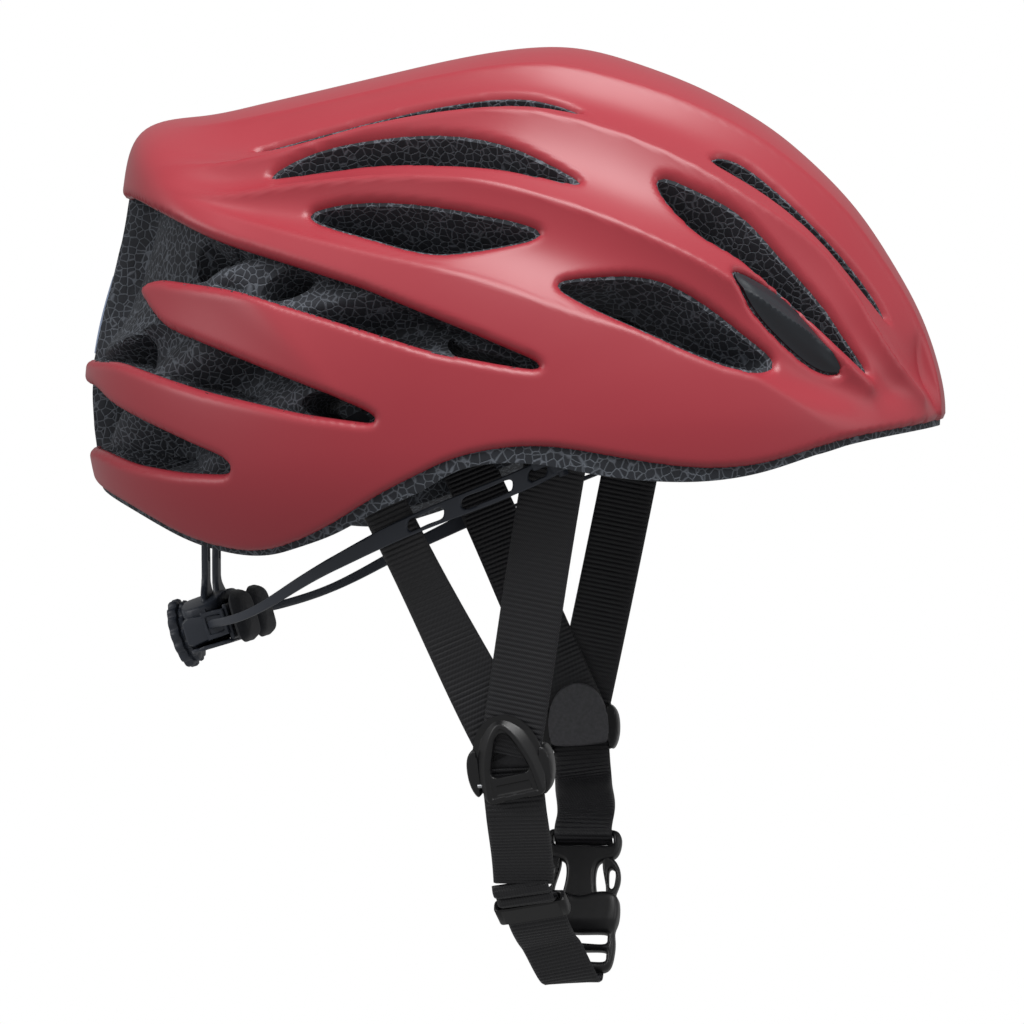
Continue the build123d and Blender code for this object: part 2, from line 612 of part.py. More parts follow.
def buckle_male():
    """Yoke with its webbing slot, and the tongue that guides it into the socket."""
    yoke = local_box(BUCKLE_WIDTH - 3, YOKE_LENGTH, 4.0, v=YOKE_BASE + YOKE_LENGTH / 2)
    yoke = fillet(yoke.edges().filter_by(Axis.Z), 2.5)
    yoke -= local_box(WEBBING_WIDTH + 0.8, 3.4, 10, v=YOKE_BASE + YOKE_LENGTH / 2 + 0.6)
    tongue = local_box(TONGUE_WIDTH, YOKE_BASE + TONGUE_REACH, 2.6, v=(YOKE_BASE - TONGUE_REACH) / 2)
    return BUCKLE_FRAME.location * (yoke + tongue)


def buckle_prong(side):
    """Side prong with the thumb piece and its eye."""
    length = YOKE_BASE + TONGUE_REACH - 2.0
    prong = local_box(PRONG_WIDTH, length, PRONG_THICK, u=side * PRONG_AT, v=YOKE_BASE - 0.2 - length / 2)
    thumb = local_box(5.2, 11.0, PRONG_THICK, u=side * 10.9, v=3.2)
    hole = Pos(side * 10.9, 3.2, 0) * Cylinder(1.6, 20)
    return BUCKLE_FRAME.location * (prong + thumb - hole)


def buckle_female():
    """Socket with side openings for the thumb pieces and a two bar ladder lock."""
    body = local_box(BUCKLE_WIDTH, BUCKLE_LENGTH, BUCKLE_THICK, v=-2.6 - BUCKLE_LENGTH / 2)
    body = fillet(body.edges().filter_by(Axis.Z), 3.0)
    body -= local_box(BUCKLE_WIDTH - 2.4, 17.5, 4.2, v=-2.6 - 17.5 / 2)
    body -= local_box(BUCKLE_WIDTH + 10, 8.0, 4.2, v=-9.5)
    for v in (-22.2, -28.6):
        body -= local_box(WEBBING_WIDTH + 1.2, 3.6, 20, v=v)
    return BUCKLE_FRAME.location * body


def buckle_spot(v, w=0.0, u=0.0):
    return BUCKLE_FRAME.from_local_coords(Vector(u, v, w))


def left_side(solid):
    return solid.mirror(Plane.XZ)


STRAIGHT_BELOW = -25.0     # the webbing stays straight this far under a divider, where the divider slides
TAIL_TOP = Vector(11.5, -34, -138)
TAIL_START = TAIL_TOP + Vector(0.3, 0.4, -0.4)
TAIL_LOW = Vector(16.0, -14, -160)


def chin_strap_left():
    """Webbing from the left divider down to the yoke of the buckle."""
    start = DIVIDER_FRAME.from_local_coords(Vector(0, -3.0, 0))
    start = Vector(start.X, -start.Y, start.Z)
    below = DIVIDER_FRAME.from_local_coords(Vector(0, STRAIGHT_BELOW, 0))
    below = Vector(below.X, -below.Y, below.Z)
    yoke = buckle_spot(YOKE_BASE + YOKE_LENGTH + 2.6)
    across = Vector(1, 0, 0)
    return ribbon([start, below, below + (yoke - below) * 0.5, yoke], across)



def chin_strap_right():
    """Webbing from the right divider down to the fold beside the keeper."""
    start = DIVIDER_FRAME.from_local_coords(Vector(0, -3.0, 0))
    below = DIVIDER_FRAME.from_local_coords(Vector(0, STRAIGHT_BELOW, 0))
    fold = TAIL_TOP + Vector(0, -1.6, 1.6)
    return ribbon([start, below, Vector(10.8, -43, -128), fold], Vector(1, 0, 0))


def chin_strap_tail():
    """Webbing from the fold to the ladder lock of the female half."""
    lock = buckle_spot(-2.6 - BUCKLE_LENGTH - 2.2)
    middle = (TAIL_START + TAIL_LOW) * 0.5
    return ribbon([TAIL_START, middle, TAIL_LOW, lock + Vector(-1.0, -1.2, -0.6)], Vector(1, 0, 0.1))


def strap_keeper():
    """Closed band round the webbing near the fold."""
    down = (TAIL_LOW - TAIL_START).normalized()
    plane = Plane(origin=TAIL_START + down * 7, x_dir=Vector(1, 0, 0.1), z_dir=down)
    outer = Box(WEBBING_WIDTH + 5, WEBBING_THICK + 2 * KEEPER_WALL, KEEPER_LENGTH)
    inner = Box(WEBBING_WIDTH + 1.2, WEBBING_THICK + 0.8, KEEPER_LENGTH * 3)
    return plane.location * (outer - inner)


# ---- everything, by name --------------------------------------------------------------
def write(name, shape):
    shapes = shape if isinstance(shape, list) else list(shape.solids())
    out = shapes[0] if len(shapes) == 1 else Compound(shapes)
    out.label = name
    export_step(out, f"parts/{name}.step")


def build():
    write("outer_shell", outer_shell())
    write("foam_liner", foam_liner())
    plate = trim_plate()
    write("trim_plate_right", plate)
    write("trim_plate_left", left_side(plate))
    write("rear_reflector", rear_reflector())
    write("brow_pad", brow_pad())
    write("crown_pad", crown_pad())
    write("side_pad_right", side_pad())
    write("side_pad_left", left_side(side_pad()))
    write("hook_dots", hook_dots())
    anchors = []
    for anchor in (FRONT_ANCHOR, REAR_ANCHOR):
        for block in both_sides(strap_anchor(anchor)):
            anchors += block.solids()
    write("strap_anchors", anchors)
    write("height_rail", height_rail())
    write("yoke_strut", yoke_strut())
    write("dial_housing", dial_housing())
    write("housing_cover", housing_cover())
    write("housing_screws", [s for piece in housing_screws() for s in piece.solids()])
    write("detent_spring", detent_spring())
    for name, shape in zip(("dial_knob", "dial_pinion", "dial_screw"), dial_shaft_parts()):
        write(name, shape)
    write("occipital_pad_right", occipital_pad(-1))
    write("occipital_pad_left", occipital_pad(1))
    rack_high = PINION_RADIUS + RACK_GAP + RACK_TALL / 2
    write("arm_right", whole_arm(rack_high, False))
    write("arm_left", whole_arm(-rack_high, True))
    stud, anchor = pivot_stud(), temple_anchor()
    front, rear = upper_strap(FRONT_ANCHOR, 1), upper_strap(REAR_ANCHOR, -1)
    base, pin, lever = divider_base(), divider_pin(), divider_lever()
    sided = {"pivot_stud": stud, "temple_anchor": anchor, "front_strap": front, "rear_strap": rear,
             "divider_base": base, "divider_pin": pin, "divider_lever": lever}
    for name, shape in sided.items():
        write(name + "_right", shape)
        write(name + "_left", left_side(shape))
    write("chin_strap_left", chin_strap_left())
    write("chin_strap_right", chin_strap_right())
    write("chin_strap_tail", chin_strap_tail())
    write("strap_keeper", strap_keeper())
    write("buckle_male", buckle_male())
    write("buckle_prong_front", buckle_prong(1))
    write("buckle_prong_rear", buckle_prong(-1))
    write("buckle_female", buckle_female())


build()
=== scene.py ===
"""Looks of a cycling helmet: red vented shell, bead foam, straps, dividers, buckle and dial cradle.

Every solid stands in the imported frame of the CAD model. Lengths in the classes are millimetres, and
the meshes are written in metres.
"""

from __future__ import annotations

import json
import logging
import math
from dataclasses import dataclass
from enum import Enum
from typing import Callable, Sequence

import bpy
import numpy as np
from mathutils import Matrix, Vector

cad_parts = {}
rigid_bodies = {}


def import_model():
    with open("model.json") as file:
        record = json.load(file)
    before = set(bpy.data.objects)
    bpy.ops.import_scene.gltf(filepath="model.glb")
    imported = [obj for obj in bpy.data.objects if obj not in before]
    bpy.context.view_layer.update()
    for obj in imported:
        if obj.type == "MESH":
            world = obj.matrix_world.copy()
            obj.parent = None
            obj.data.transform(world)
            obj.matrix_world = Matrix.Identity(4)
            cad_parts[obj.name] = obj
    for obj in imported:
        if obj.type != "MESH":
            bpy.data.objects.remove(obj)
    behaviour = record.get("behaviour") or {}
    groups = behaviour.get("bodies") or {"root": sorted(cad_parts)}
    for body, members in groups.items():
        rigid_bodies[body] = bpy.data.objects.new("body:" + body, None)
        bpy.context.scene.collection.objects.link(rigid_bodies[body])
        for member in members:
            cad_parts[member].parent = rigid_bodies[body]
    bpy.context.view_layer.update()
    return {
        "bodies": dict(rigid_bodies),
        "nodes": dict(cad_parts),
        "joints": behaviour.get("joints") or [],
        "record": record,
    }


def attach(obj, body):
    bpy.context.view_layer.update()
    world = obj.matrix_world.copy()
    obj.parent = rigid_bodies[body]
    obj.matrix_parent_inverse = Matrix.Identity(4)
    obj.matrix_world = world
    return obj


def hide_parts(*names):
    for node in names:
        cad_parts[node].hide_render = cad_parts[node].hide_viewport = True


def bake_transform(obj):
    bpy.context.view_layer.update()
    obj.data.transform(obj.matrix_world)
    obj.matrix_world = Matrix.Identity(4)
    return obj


logging.basicConfig(level=logging.INFO, format="%(message)s")
LOG = logging.getLogger("helmet")

MM = 0.001
FIELD_REACH = 16.0  # mm past which a distance to an edge is no longer told apart
Array = np.ndarray


class Side(Enum):
    """Which side of the wearer a piece is on; the value is the sign of Y."""

    RIGHT = -1
    LEFT = 1

    @property
    def label(self) -> str:
        """The word that the CAD nodes end in."""
        return self.name.lower()


# ---- small helpers ---------------------------------------------------------------------
def linear(hex_colour: str) -> tuple[float, float, float, float]:
    """Linear RGBA of an sRGB colour.

    Args:
        hex_colour: colour as "#RRGGBB".

    Returns:
        The linear colour with an alpha of 1.
    """
    parts = [int(hex_colour[i : i + 2], 16) / 255.0 for i in (1, 3, 5)]
    made = [c / 12.92 if c <= 0.04045 else ((c + 0.055) / 1.055) ** 2.4 for c in parts]
    return made[0], made[1], made[2], 1.0


def unit(vectors: Array) -> Array:
    """Vectors scaled to length 1 along their last axis."""
    length = np.linalg.norm(vectors, axis=-1, keepdims=True)
    return vectors / np.maximum(length, 1e-12)


def smooth_step(value: Array) -> Array:
    """0 below 0, 1 above 1, and an even curve between."""
    t = np.clip(value, 0.0, 1.0)
    return t * t * (3.0 - 2.0 * t)


def spline(points: Sequence[Sequence[float]], count: int, closed: bool = False) -> Array:
    """Cubic spline through points.

    Args:
        points: places that the curve passes through.
        count: how many points the result has.
        closed: whether the curve joins its own start.

    Returns:
        count points along the curve.
    """
    p = np.asarray(points, float)
    if closed:
        p = np.vstack([p, p[:1]])
    step = np.linalg.norm(np.diff(p, axis=0), axis=1) ** 0.5
    knot = np.concatenate([[0.0], np.cumsum(step)])
    n = len(p)
    a = np.zeros((n, n))
    b = np.zeros_like(p)
    for i in range(1, n - 1):
        a[i, i - 1 : i + 2] = step[i - 1], 2 * (step[i - 1] + step[i]), step[i]
        b[i] = 6 * ((p[i + 1] - p[i]) / step[i] - (p[i] - p[i - 1]) / step[i - 1])
    a[0, 0] = 1.0
    if closed:
        a[0, -1] = -1.0
        a[-1, -2], a[-1, -1], a[-1, 0], a[-1, 1] = step[-1], 2 * step[-1], 2 * step[0], step[0]
        b[-1] = 6 * ((p[1] - p[0]) / step[0] - (p[-1] - p[-2]) / step[-1])
    else:
        a[-1, -1] = 1.0
    m = np.linalg.solve(a, b)
    s = np.linspace(0.0, knot[-1], count, endpoint=not closed)
    k = np.clip(np.searchsorted(knot, s, side="right") - 1, 0, n - 2)
    h = step[k][:, None]
    u = (s - knot[k])[:, None]
    w = h - u
    cubic = (m[k] * w**3 + m[k + 1] * u**3) / (6 * h)
    return cubic + (p[k] / h - m[k] * h / 6) * w + (p[k + 1] / h - m[k + 1] * h / 6) * u


def distance_to_line(points: Array, line: Array, closed: bool, reach: float = 1e9) -> Array:
    """Distance from each point to a polyline, no more than reach."""
    ends = np.vstack([line[1:], line[:1]]) if closed else line[1:]
    starts = line if closed else line[:-1]
    low, high = line.min(0) - reach, line.max(0) + reach
    near = np.all((points > low) & (points < high), axis=1)
    out = np.full(len(points), reach, float)
    some = points[near]
    best = np.full(len(some), reach, float)
    for a, b in zip(starts, ends):
        d = b - a
        t = np.clip(((some - a) @ d) / max(float(d @ d), 1e-12), 0.0, 1.0)
        best = np.minimum(best, np.linalg.norm(some - a - t[:, None] * d, axis=1))
    out[near] = best
    return out


def inside(points: Array, polygon: Array) -> Array:
    """Whether each 2D point is inside a polygon."""
    x, y = points[:, 0], points[:, 1]
    result = np.zeros(len(points), bool)
    for (x0, y0), (x1, y1) in zip(polygon, np.roll(polygon, -1, axis=0)):
        if y0 != y1:
            crosses = (y0 > y) != (y1 > y)
            result ^= crosses & (x < (x1 - x0) * (y - y0) / (y1 - y0) + x0)
    return result


def mesh_object(name: str, vertices: Array, faces: Sequence[Sequence[int]]) -> bpy.types.Object:
    """Object from vertices in millimetres."""
    mesh = bpy.data.meshes.new(name)
    mesh.from_pydata((np.asarray(vertices, float) * MM).tolist(), [], [list(map(int, f)) for f in faces])
    mesh.validate()
    mesh.polygons.foreach_set("use_smooth", [True] * len(mesh.polygons))
    obj = bpy.data.objects.new(name, mesh)
    bpy.context.scene.collection.objects.link(obj)
    return obj


# ---- the outer form -----------------------------------------------------------------------
class OuterForm:
    """The smooth outer form that shell, foam and trim follow, drawn round one centre.

    A place on it is a direction from the centre, held as (u, v): the angle from straight up times
    the heading.
    """

    centre = np.array([-20.0, 0.0, 12.0])
    half_width = 104.0
    roundness = 2.1
    outline = [
        (-124, 114.5), (-104, 119.3), (-85, 122.8), (-71, 125.8), (-37, 133.2), (-10, 138.6), (20, 140.8),
        (43, 135.3), (64, 127), (84, 115.8), (97, 105.8), (114, 88.7), (127, 70), (137.5, 50.5), (144, 30),
        (145, 16), (138, -15), (110, -45), (60, -66), (0, -75), (-60, -68), (-110, -45), (-136, -15),
        (-143, 10), (-143.5, 35), (-138, 60), (-130.5, 92),
    ]

    def __init__(self) -> None:
        """Works out the reach of the side outline in every direction."""
        curve = spline(self.outline, 720, closed=True) - self.centre[[0, 2]]
        angle = np.arctan2(curve[:, 1], curve[:, 0])
        order = np.argsort(angle)
        turn = 2 * math.pi
        self._angle = np.concatenate([angle[order] - turn, angle[order], angle[order] + turn])
        self._reach = np.tile(np.linalg.norm(curve[order], axis=1), 3)

    def reach(self, angle: Array) -> Array:
        """Distance from the centre to the side outline."""
        return np.interp(angle, self._angle, self._reach)

    def radius(self, directions: Array, inset: float = 0.0) -> Array:
        """Distance from the centre to the form along each direction."""
        flat = np.hypot(directions[:, 0], directions[:, 2])
        reach = self.reach(np.arctan2(directions[:, 2], directions[:, 0])) - inset
        wide = np.abs(directions[:, 1]) / (self.half_width - inset)
        return ((flat / reach) ** self.roundness + wide**self.roundness) ** (-1.0 / self.roundness)

    def directions(self, uv: Array) -> Array:
        """Unit directions of (u, v) places."""
        tilt = np.hypot(uv[:, 0], uv[:, 1])
        shrink = np.where(tilt > 1e-9, np.sin(tilt) / np.maximum(tilt, 1e-9), 1.0)
        return np.column_stack([uv[:, 0] * shrink, uv[:, 1] * shrink, np.cos(tilt)])

    def points(self, uv: Array, inset: float = 0.0) -> Array:
        """Points of the form at (u, v) places."""
        d = self.directions(uv)
        return self.centre + d * self.radius(d, inset)[:, None]

    def onto(self, points: Array) -> Array:
        """Points moved along their own direction onto the form."""
        d = unit(np.asarray(points, float) - self.centre)
        return self.centre + d * self.radius(d)[:, None]

    def normals(self, points: Array) -> Array:
        """Outward normals at points of the form."""
        value = []
        for shift in (np.zeros(3), *np.eye(3) * 0.5):
            offset = points + shift - self.centre
            length = np.linalg.norm(offset, axis=1)
            value.append(length / self.radius(unit(offset)))
        return unit(np.column_stack([value[i] - value[0] for i in (1, 2, 3)]))

    def lift_side(self, outline: Sequence[Sequence[float]], count: int = 110, closed: bool = True) -> Array:
        """Curve on the right half above an outline drawn in the side view."""
        curve = spline(outline, count, closed) if len(outline) < 60 else np.asarray(outline, float)
        offset = curve - self.centre[[0, 2]]
        reach = self.reach(np.arctan2(offset[:, 1], offset[:, 0]))
        flat = np.linalg.norm(offset, axis=1) / reach
        share = np.minimum(flat, 1.0)
        y = -self.half_width * (1.0 - share**self.roundness) ** (1.0 / self.roundness)
        moved = self.centre[[0, 2]] + offset * (share / flat)[:, None]
        return np.column_stack([moved[:, 0], y, moved[:, 1]])

    def lift_top(self, outline: Sequence[Sequence[float]], count: int = 110, closed: bool = True) -> Array:
        """Curve on the form above an outline drawn in the plan view."""
        curve = spline(outline, count, closed)
        low = np.full(len(curve), self.centre[2])
        high = np.full(len(curve), 170.0)
        for _ in range(30):
            middle = (low + high) / 2
            offset = np.column_stack([curve, middle]) - self.centre
            out = np.linalg.norm(offset, axis=1) > self.radius(unit(offset))
            high = np.where(out, middle, high)
            low = np.where(out, low, middle)
        return np.column_stack([curve, low])


@dataclass(frozen=True)
class Opening:
    """An opening through the shell: its curve on the form and the outline that says what is inside it."""

    curve: Array
    outline: Array
    axes: tuple[int, int]

    def depth(self, folded: Array, reach: float = FIELD_REACH) -> Array:
        """Signed distance: positive outside the opening, negative inside it."""
        away = distance_to_line(folded, self.curve, True, reach)
        return np.where(inside(folded[:, list(self.axes)], self.outline), -away, away)


class Patch:
    """A grid on the outer form, trimmed where a signed field is zero."""

    def __init__(self, form: OuterForm, step: float, field_at: Callable[[Array], Array],
                 window: tuple[float, float, float, float] = (-2.1, 2.1, -2.1, 2.1),
                 limit: float | None = 2.1) -> None:
        """Trims the grid.

        Args:
            form: the outer form.
            step: spacing of the grid in radians.
            field_at: signed distance in mm at (u, v) places; the patch is kept where it is positive.
            window: lowest and highest u, then v.
            limit: furthest distance from the middle of the grid, if any.
        """
        self.form = form
        u = np.arange(math.floor(window[0] / step), math.ceil(window[1] / step) + 1) * step
        v = np.arange(math.floor(window[2] / step), math.ceil(window[3] / step) + 1) * step
        rows, columns = len(u), len(v)
        uv = np.stack(np.meshgrid(u, v, indexing="ij"), axis=-1).reshape(-1, 2)
        reach = np.hypot(uv[:, 0], uv[:, 1]) < (limit or 1e9)
        value = np.full(len(uv), -FIELD_REACH)
        value[reach] = field_at(uv[reach])
        uv, value = self._snap(uv, value, rows, columns, step)
        self._trim(uv, value, rows, columns, field_at)

    @staticmethod
    def _snap(uv: Array, value: Array, rows: int, columns: int, step: float) -> tuple[Array, Array]:
        """Moves the grid points beside the edge onto it, so that no sliver is left."""
        grid = value.reshape(rows, columns)
        slope_u, slope_v = np.gradient(grid, step)
        slope = np.column_stack([slope_u.ravel(), slope_v.ravel()])
        steep = np.maximum((slope**2).sum(1), 1.0)
        move = -value[:, None] * slope / steep[:, None]
        near = np.linalg.norm(move, axis=1) < 0.34 * step
        near &= np.abs(value) < 4.0
        uv = np.where(near[:, None], uv + move, uv)
        return uv, np.where(near, 1e-6, value)

    def _trim(self, uv: Array, value: Array, rows: int, columns: int, field_at: Callable) -> None:
        """Keeps the faces inside the field and cuts those on its edge."""
        keep = value > 0
        index = np.arange(rows * columns).reshape(rows, columns)
        corners = [index[:-1, :-1], index[1:, :-1], index[1:, 1:], index[:-1, 1:]]
        quads = np.stack(corners, -1).reshape(-1, 4)
        count = keep[quads].sum(1)
        faces = [tuple(q) for q in quads[count == 4].tolist()]
        extra: list[Array] = []
        made: dict[tuple[int, int], int] = {}
        for quad in quads[(count > 0) & (count < 4)].tolist():
            polygon: list[int] = []
            for a, b in zip(quad, quad[1:] + quad[:1]):
                if keep[a]:
                    polygon.append(a)
                if keep[a] != keep[b] and min(abs(value[a]), abs(value[b])) > 1e-5:
                    key = (min(a, b), max(a, b))
                    if key not in made:
                        share = value[a] / (value[a] - value[b])
                        made[key] = len(uv) + len(extra)
                        extra.append(uv[a] + (uv[b] - uv[a]) * share)
                    polygon.append(made[key])
            if len(polygon) > 2:
                faces.append(tuple(polygon))
        whole = np.vstack([uv, extra]) if extra else uv
        used = sorted({i for face in faces for i in face})
        renumber = {old: new for new, old in enumerate(used)}
        self.uv = whole[used]
        self.faces = [tuple(renumber[i] for i in face) for face in faces]
        self.value = np.maximum(field_at(self.uv), 0.0)

    def loops(self) -> list[list[int]]:
        """Closed rings of vertices round the edges, with the patch on their left."""
        directed = {(a, b) for face in self.faces for a, b in zip(face, face[1:] + face[:1])}
        following: dict[int, int] = {a: b for a, b in directed if (b, a) not in directed}
        rings = []
        while following:
            start, at = next(iter(following.items()))
            ring = [start]
            del following[start]
            while at != start and at in following:
                ring.append(at)
                at = following.pop(at)
            if len(ring) > 5:
                rings.append(ring)
        return rings

    def slab_faces(self) -> list[tuple[int, ...]]:
        """Faces of a slab: the patch, its reversed twin whose vertices follow on, and the sides."""
        count = len(self.uv)
        faces = list(self.faces) + [tuple(count + i for i in reversed(face)) for face in self.faces]
        for ring in self.loops():
            faces += [(b, a, count + a, count + b) for a, b in zip(ring, ring[1:] + ring[:1])]
        return faces


class HelmetLines:
    """The openings, rims and ridge lines that shell and foam share."""

    side_vents = {
        "crown": [(-67, 100), (-56, 106), (-36, 111), (-13, 113), (7, 111), (24, 105), (37, 97), (18, 100),
                  (-11, 103), (-41, 103)],
        "side": [(-51, 87), (-42, 90), (-19, 90), (7, 86), (26, 80), (14, 76), (-7, 73), (-28, 78)],
        "temple": [(33, 63), (45, 66), (63, 65), (80, 56), (94, 45), (100, 38), (95, 35), (76, 40),
                   (55, 50)],
        "brow": [(61, 98), (73, 94), (88, 85), (104, 69), (118, 52), (128, 34), (121, 41), (104, 58),
                 (86, 74), (75, 81)],
    }
    top_vents = {
        "ridge": [(-76, -53), (-40, -56), (-13, -57), (8, -57.5), (34, -53), (20, -50.5), (-10, -49),
                  (-45, -49)],
        "nose": [(77, -46), (93, -42), (108, -38), (124, -31), (133, -23), (125, -25), (112, -31),
                 (94, -35), (80, -40)],
    }
    trim = [(86, 67), (93, 65), (105, 56), (115, 42), (119, 35), (115, 35), (102, 45), (90, 58)]
    upper_opening = [
        (-155, 92), (-119, 91), (-90, 81), (-59, 71), (-30, 62), (3, 49), (29, 38), (29, 35), (16, 37),
        (-6, 41),
        (-32, 49), (-65, 59), (-105, 64), (-112, 61), (-100, 49), (-76, 41), (-48, 31), (-31, 25),
        (-22, 21),
        (-23, 18), (-47, 21), (-83, 28), (-119, 37), (-155, 37),
    ]
    lower_opening = [
        (-155, 30), (-131, 29), (-121, 23), (-98, 15), (-81, 9), (-72, 6), (-72, 1), (-91, 1), (-112, 3),
        (-130, 7), (-155, 7),
    ]
    windows = [
        [(-2, 48), (6, 45), (25, 38), (24, 36.5), (0, 41)],
        [(-66, 61), (-57, 70), (-47, 67), (-54, 60)],
        [(-104, 66), (-98, 80), (-86, 76), (-90, 64)],
        [(-50, 23), (-46, 29), (-30, 24), (-26, 19)],
    ]
    shell_rim = [
        (152, 19), (143, 17), (120, 12.8), (97, 6), (74, 4.7), (47, 9), (26, 11.5), (4, 8.3), (-9, 2.8),
        (-22, -3.9), (-36, -12.3), (-46, -17.6), (-54, -20.8), (-60, -22.6), (-68, -23.6), (-78, -22.8),
        (-93, -19.2), (-114, -10.8), (-135, -4.5), (-152, 0),
    ]
    foam_rim = [
        (152, 17.5), (143, 15.5), (120, 10.8), (97, 3.2), (74, 0.2), (47, 2.6), (26, 6.2), (4, 4.2),
        (-9, -2.8), (-22, -8.6), (-36, -16), (-46, -20), (-54, -22.6), (-60, -24.2), (-68, -25),
        (-78, -24.2),
        (-93, -20.7), (-114, -12.4), (-135, -6), (-152, -2),
    ]
    centre_edge = [(-124, -30), (-95, -34), (-76, -37), (-40, -38), (0, -38), (40, -35), (75, -28),
                   (100, -21), (122, -14), (138, -8)]
    ridges = [
        [(-118, -55, 99), (-103, -60, 101), (-68, -63, 106), (-38, -61, 115), (6, -62, 119), (34, -61, 116),
         (72, -57, 101), (98, -50, 84), (113, -43, 69), (129, -38, 43), (141, -24, 25)],
        [(-118, -58, 94), (-88, -73, 92), (-64, -75, 94), (-34, -78, 97), (-1, -82, 96), (38, -82, 87),
         (60, -79, 78), (79, -74, 68), (100, -65, 52), (126, -49, 30)],
        [(-124, -48, 92), (-112, -59, 91), (-86, -77, 87), (-53, -87, 78), (-20, -94, 70), (12, -96, 62),
         (40, -93, 52), (66, -86, 44), (86, -79, 36), (106, -69, 24), (117, -60, 15)],
    ]
    beyond_back = -155.0  # x of the outline corners that lie behind the helmet and stay sharp
    channel_depth = 5.0
    channel_share = 0.23
    channel_edge = 1.5  # mm over which a channel starts beside the centre edge and the belt
    tail_fade = (-112.0, 45.0)  # x where the channels end at the tail, and over how many mm
    nose_fade = (14.0, 20.0)  # the same in z, at the nose

    def __init__(self, form: OuterForm) -> None:
        """Lays every outline and line on the form."""
        self.form = form
        self.vents = [self._side(outline) for outline in self.side_vents.values()]
        self.vents += [self._top(outline) for outline in self.top_vents.values()]
        self.trim_hole = self._side(self.trim)
        self.rear = [self._rear(self.upper_opening), self._rear(self.lower_opening)]
        self.through = [self._rear(w, True) for w in self.windows]
        self.lines = [form.lift_top(self.centre_edge, 70, False)]
        self.lines += [form.onto(spline(r, 70)) for r in self.ridges]
        self.rim_curves = {name: spline(getattr(self, name), 200) for name in ("shell_rim", "foam_rim")}

    def _side(self, outline: Sequence) -> Opening:
        """Opening drawn in the side view."""
        curve = spline(outline, 110, True)
        return Opening(self.form.lift_side(outline), curve, (0, 2))

    def _top(self, outline: Sequence) -> Opening:
        """Opening drawn in the plan view."""
        return Opening(self.form.lift_top(outline), spline(outline, 110, True), (0, 1))

    def _rear(self, outline: Sequence, soft: bool = False) -> Opening:
        """Opening at the back, with firm corners unless it is soft."""
        p = np.asarray(outline, float)
        if soft:
            curve = spline(p, 60, True)
        else:
            steps = [np.linspace(a, b, max(2, int(np.linalg.norm(b - a) / 2.5)), endpoint=False)
                     for a, b in zip(p, np.roll(p, -1, axis=0))]
            curve = np.vstack(steps)
            for _ in range(3):
                held = np.abs(curve[:, :1] - self.beyond_back) < 1
                curve = np.where(held, curve,
                                 (np.roll(curve, 1, 0) + 2 * curve + np.roll(curve, -1, 0)) / 4)
        return Opening(self.form.lift_side(curve), curve, (0, 2))

    def above_rim(self, points: Array, rim: str) -> Array:
        """Height above a rim, in the side view."""
        curve = self.rim_curves[rim][::-1]
        height = points[:, 2] - np.interp(points[:, 0], curve[:, 0], curve[:, 1])
        return np.clip(height, -FIELD_REACH, FIELD_REACH)

    def channel(self, folded: Array) -> Array:
        """How far the shell dips between its ridge lines."""
        away = np.sort(np.stack([distance_to_line(folded, line, False, 60.0) for line in self.lines]),
                       axis=0)
        gap = away[0] + away[1]
        share = away[0] / np.maximum(gap, 1e-6)
        dip = np.minimum(self.channel_depth, self.channel_share * gap) * np.sin(math.pi * share) ** 0.9
        edge = self.lines[0]
        order = np.argsort(edge[:, 0])
        centre_y = -np.interp(folded[:, 0], edge[order, 0], edge[order, 1])
        past_centre = smooth_step((-folded[:, 1] - centre_y) / self.channel_edge)
        belt = self.lines[3]
        order = np.argsort(belt[:, 0])
        belt_z = np.interp(folded[:, 0], belt[order, 0], belt[order, 2])
        above_belt = smooth_step((folded[:, 2] - belt_z) / self.channel_edge)
        tail = smooth_step((folded[:, 0] - self.tail_fade[0]) / self.tail_fade[1])
        nose = smooth_step((folded[:, 2] - self.nose_fade[0]) / self.nose_fade[1])
        return dip * past_centre * above_belt * tail * nose


def folded_right(points: Array) -> Array:
    """Points mirrored onto the right half, where every outline is drawn."""
    flipped = points.copy()
    flipped[:, 1] = -np.abs(points[:, 1])
    return flipped


def ring_walls(vertices: Array, rings: list[list[int]],
               profile: Callable[[Array, Array, Array, int], Array],
               count: int) -> tuple[Array, list[tuple[int, ...]]]:
    """Rows of faces that carry edge rings on, such as a lip round an opening.

    Args:
        vertices: the patch's vertices.
        rings: vertex rings from Patch.loops.
        profile: gives the points of one row from ring vertices, their tangents, the ring's indices
            and the row number.
        count: how many rows.

    Returns:
        The new vertices and faces.
    """
    made: list[Array] = []
    faces: list[tuple[int, ...]] = []
    base = len(vertices)
    for ring in rings:
        ring_index = np.array(ring)
        points = vertices[ring_index]
        tangent = np.roll(points, -1, 0) - np.roll(points, 1, 0)
        for _ in range(2):
            tangent = (np.roll(tangent, 1, 0) + 2 * tangent + np.roll(tangent, -1, 0)) / 4
        previous = ring_index
        for row in range(count):
            made.append(profile(points, unit(tangent), ring_index, row))
            current = np.arange(base, base + len(ring))
            base += len(ring)
            following = np.roll(previous, -1)
            faces += list(zip(following, previous, current, np.roll(current, -1)))
            previous = current
    return (np.vstack(made) if made else np.zeros((0, 3))), faces


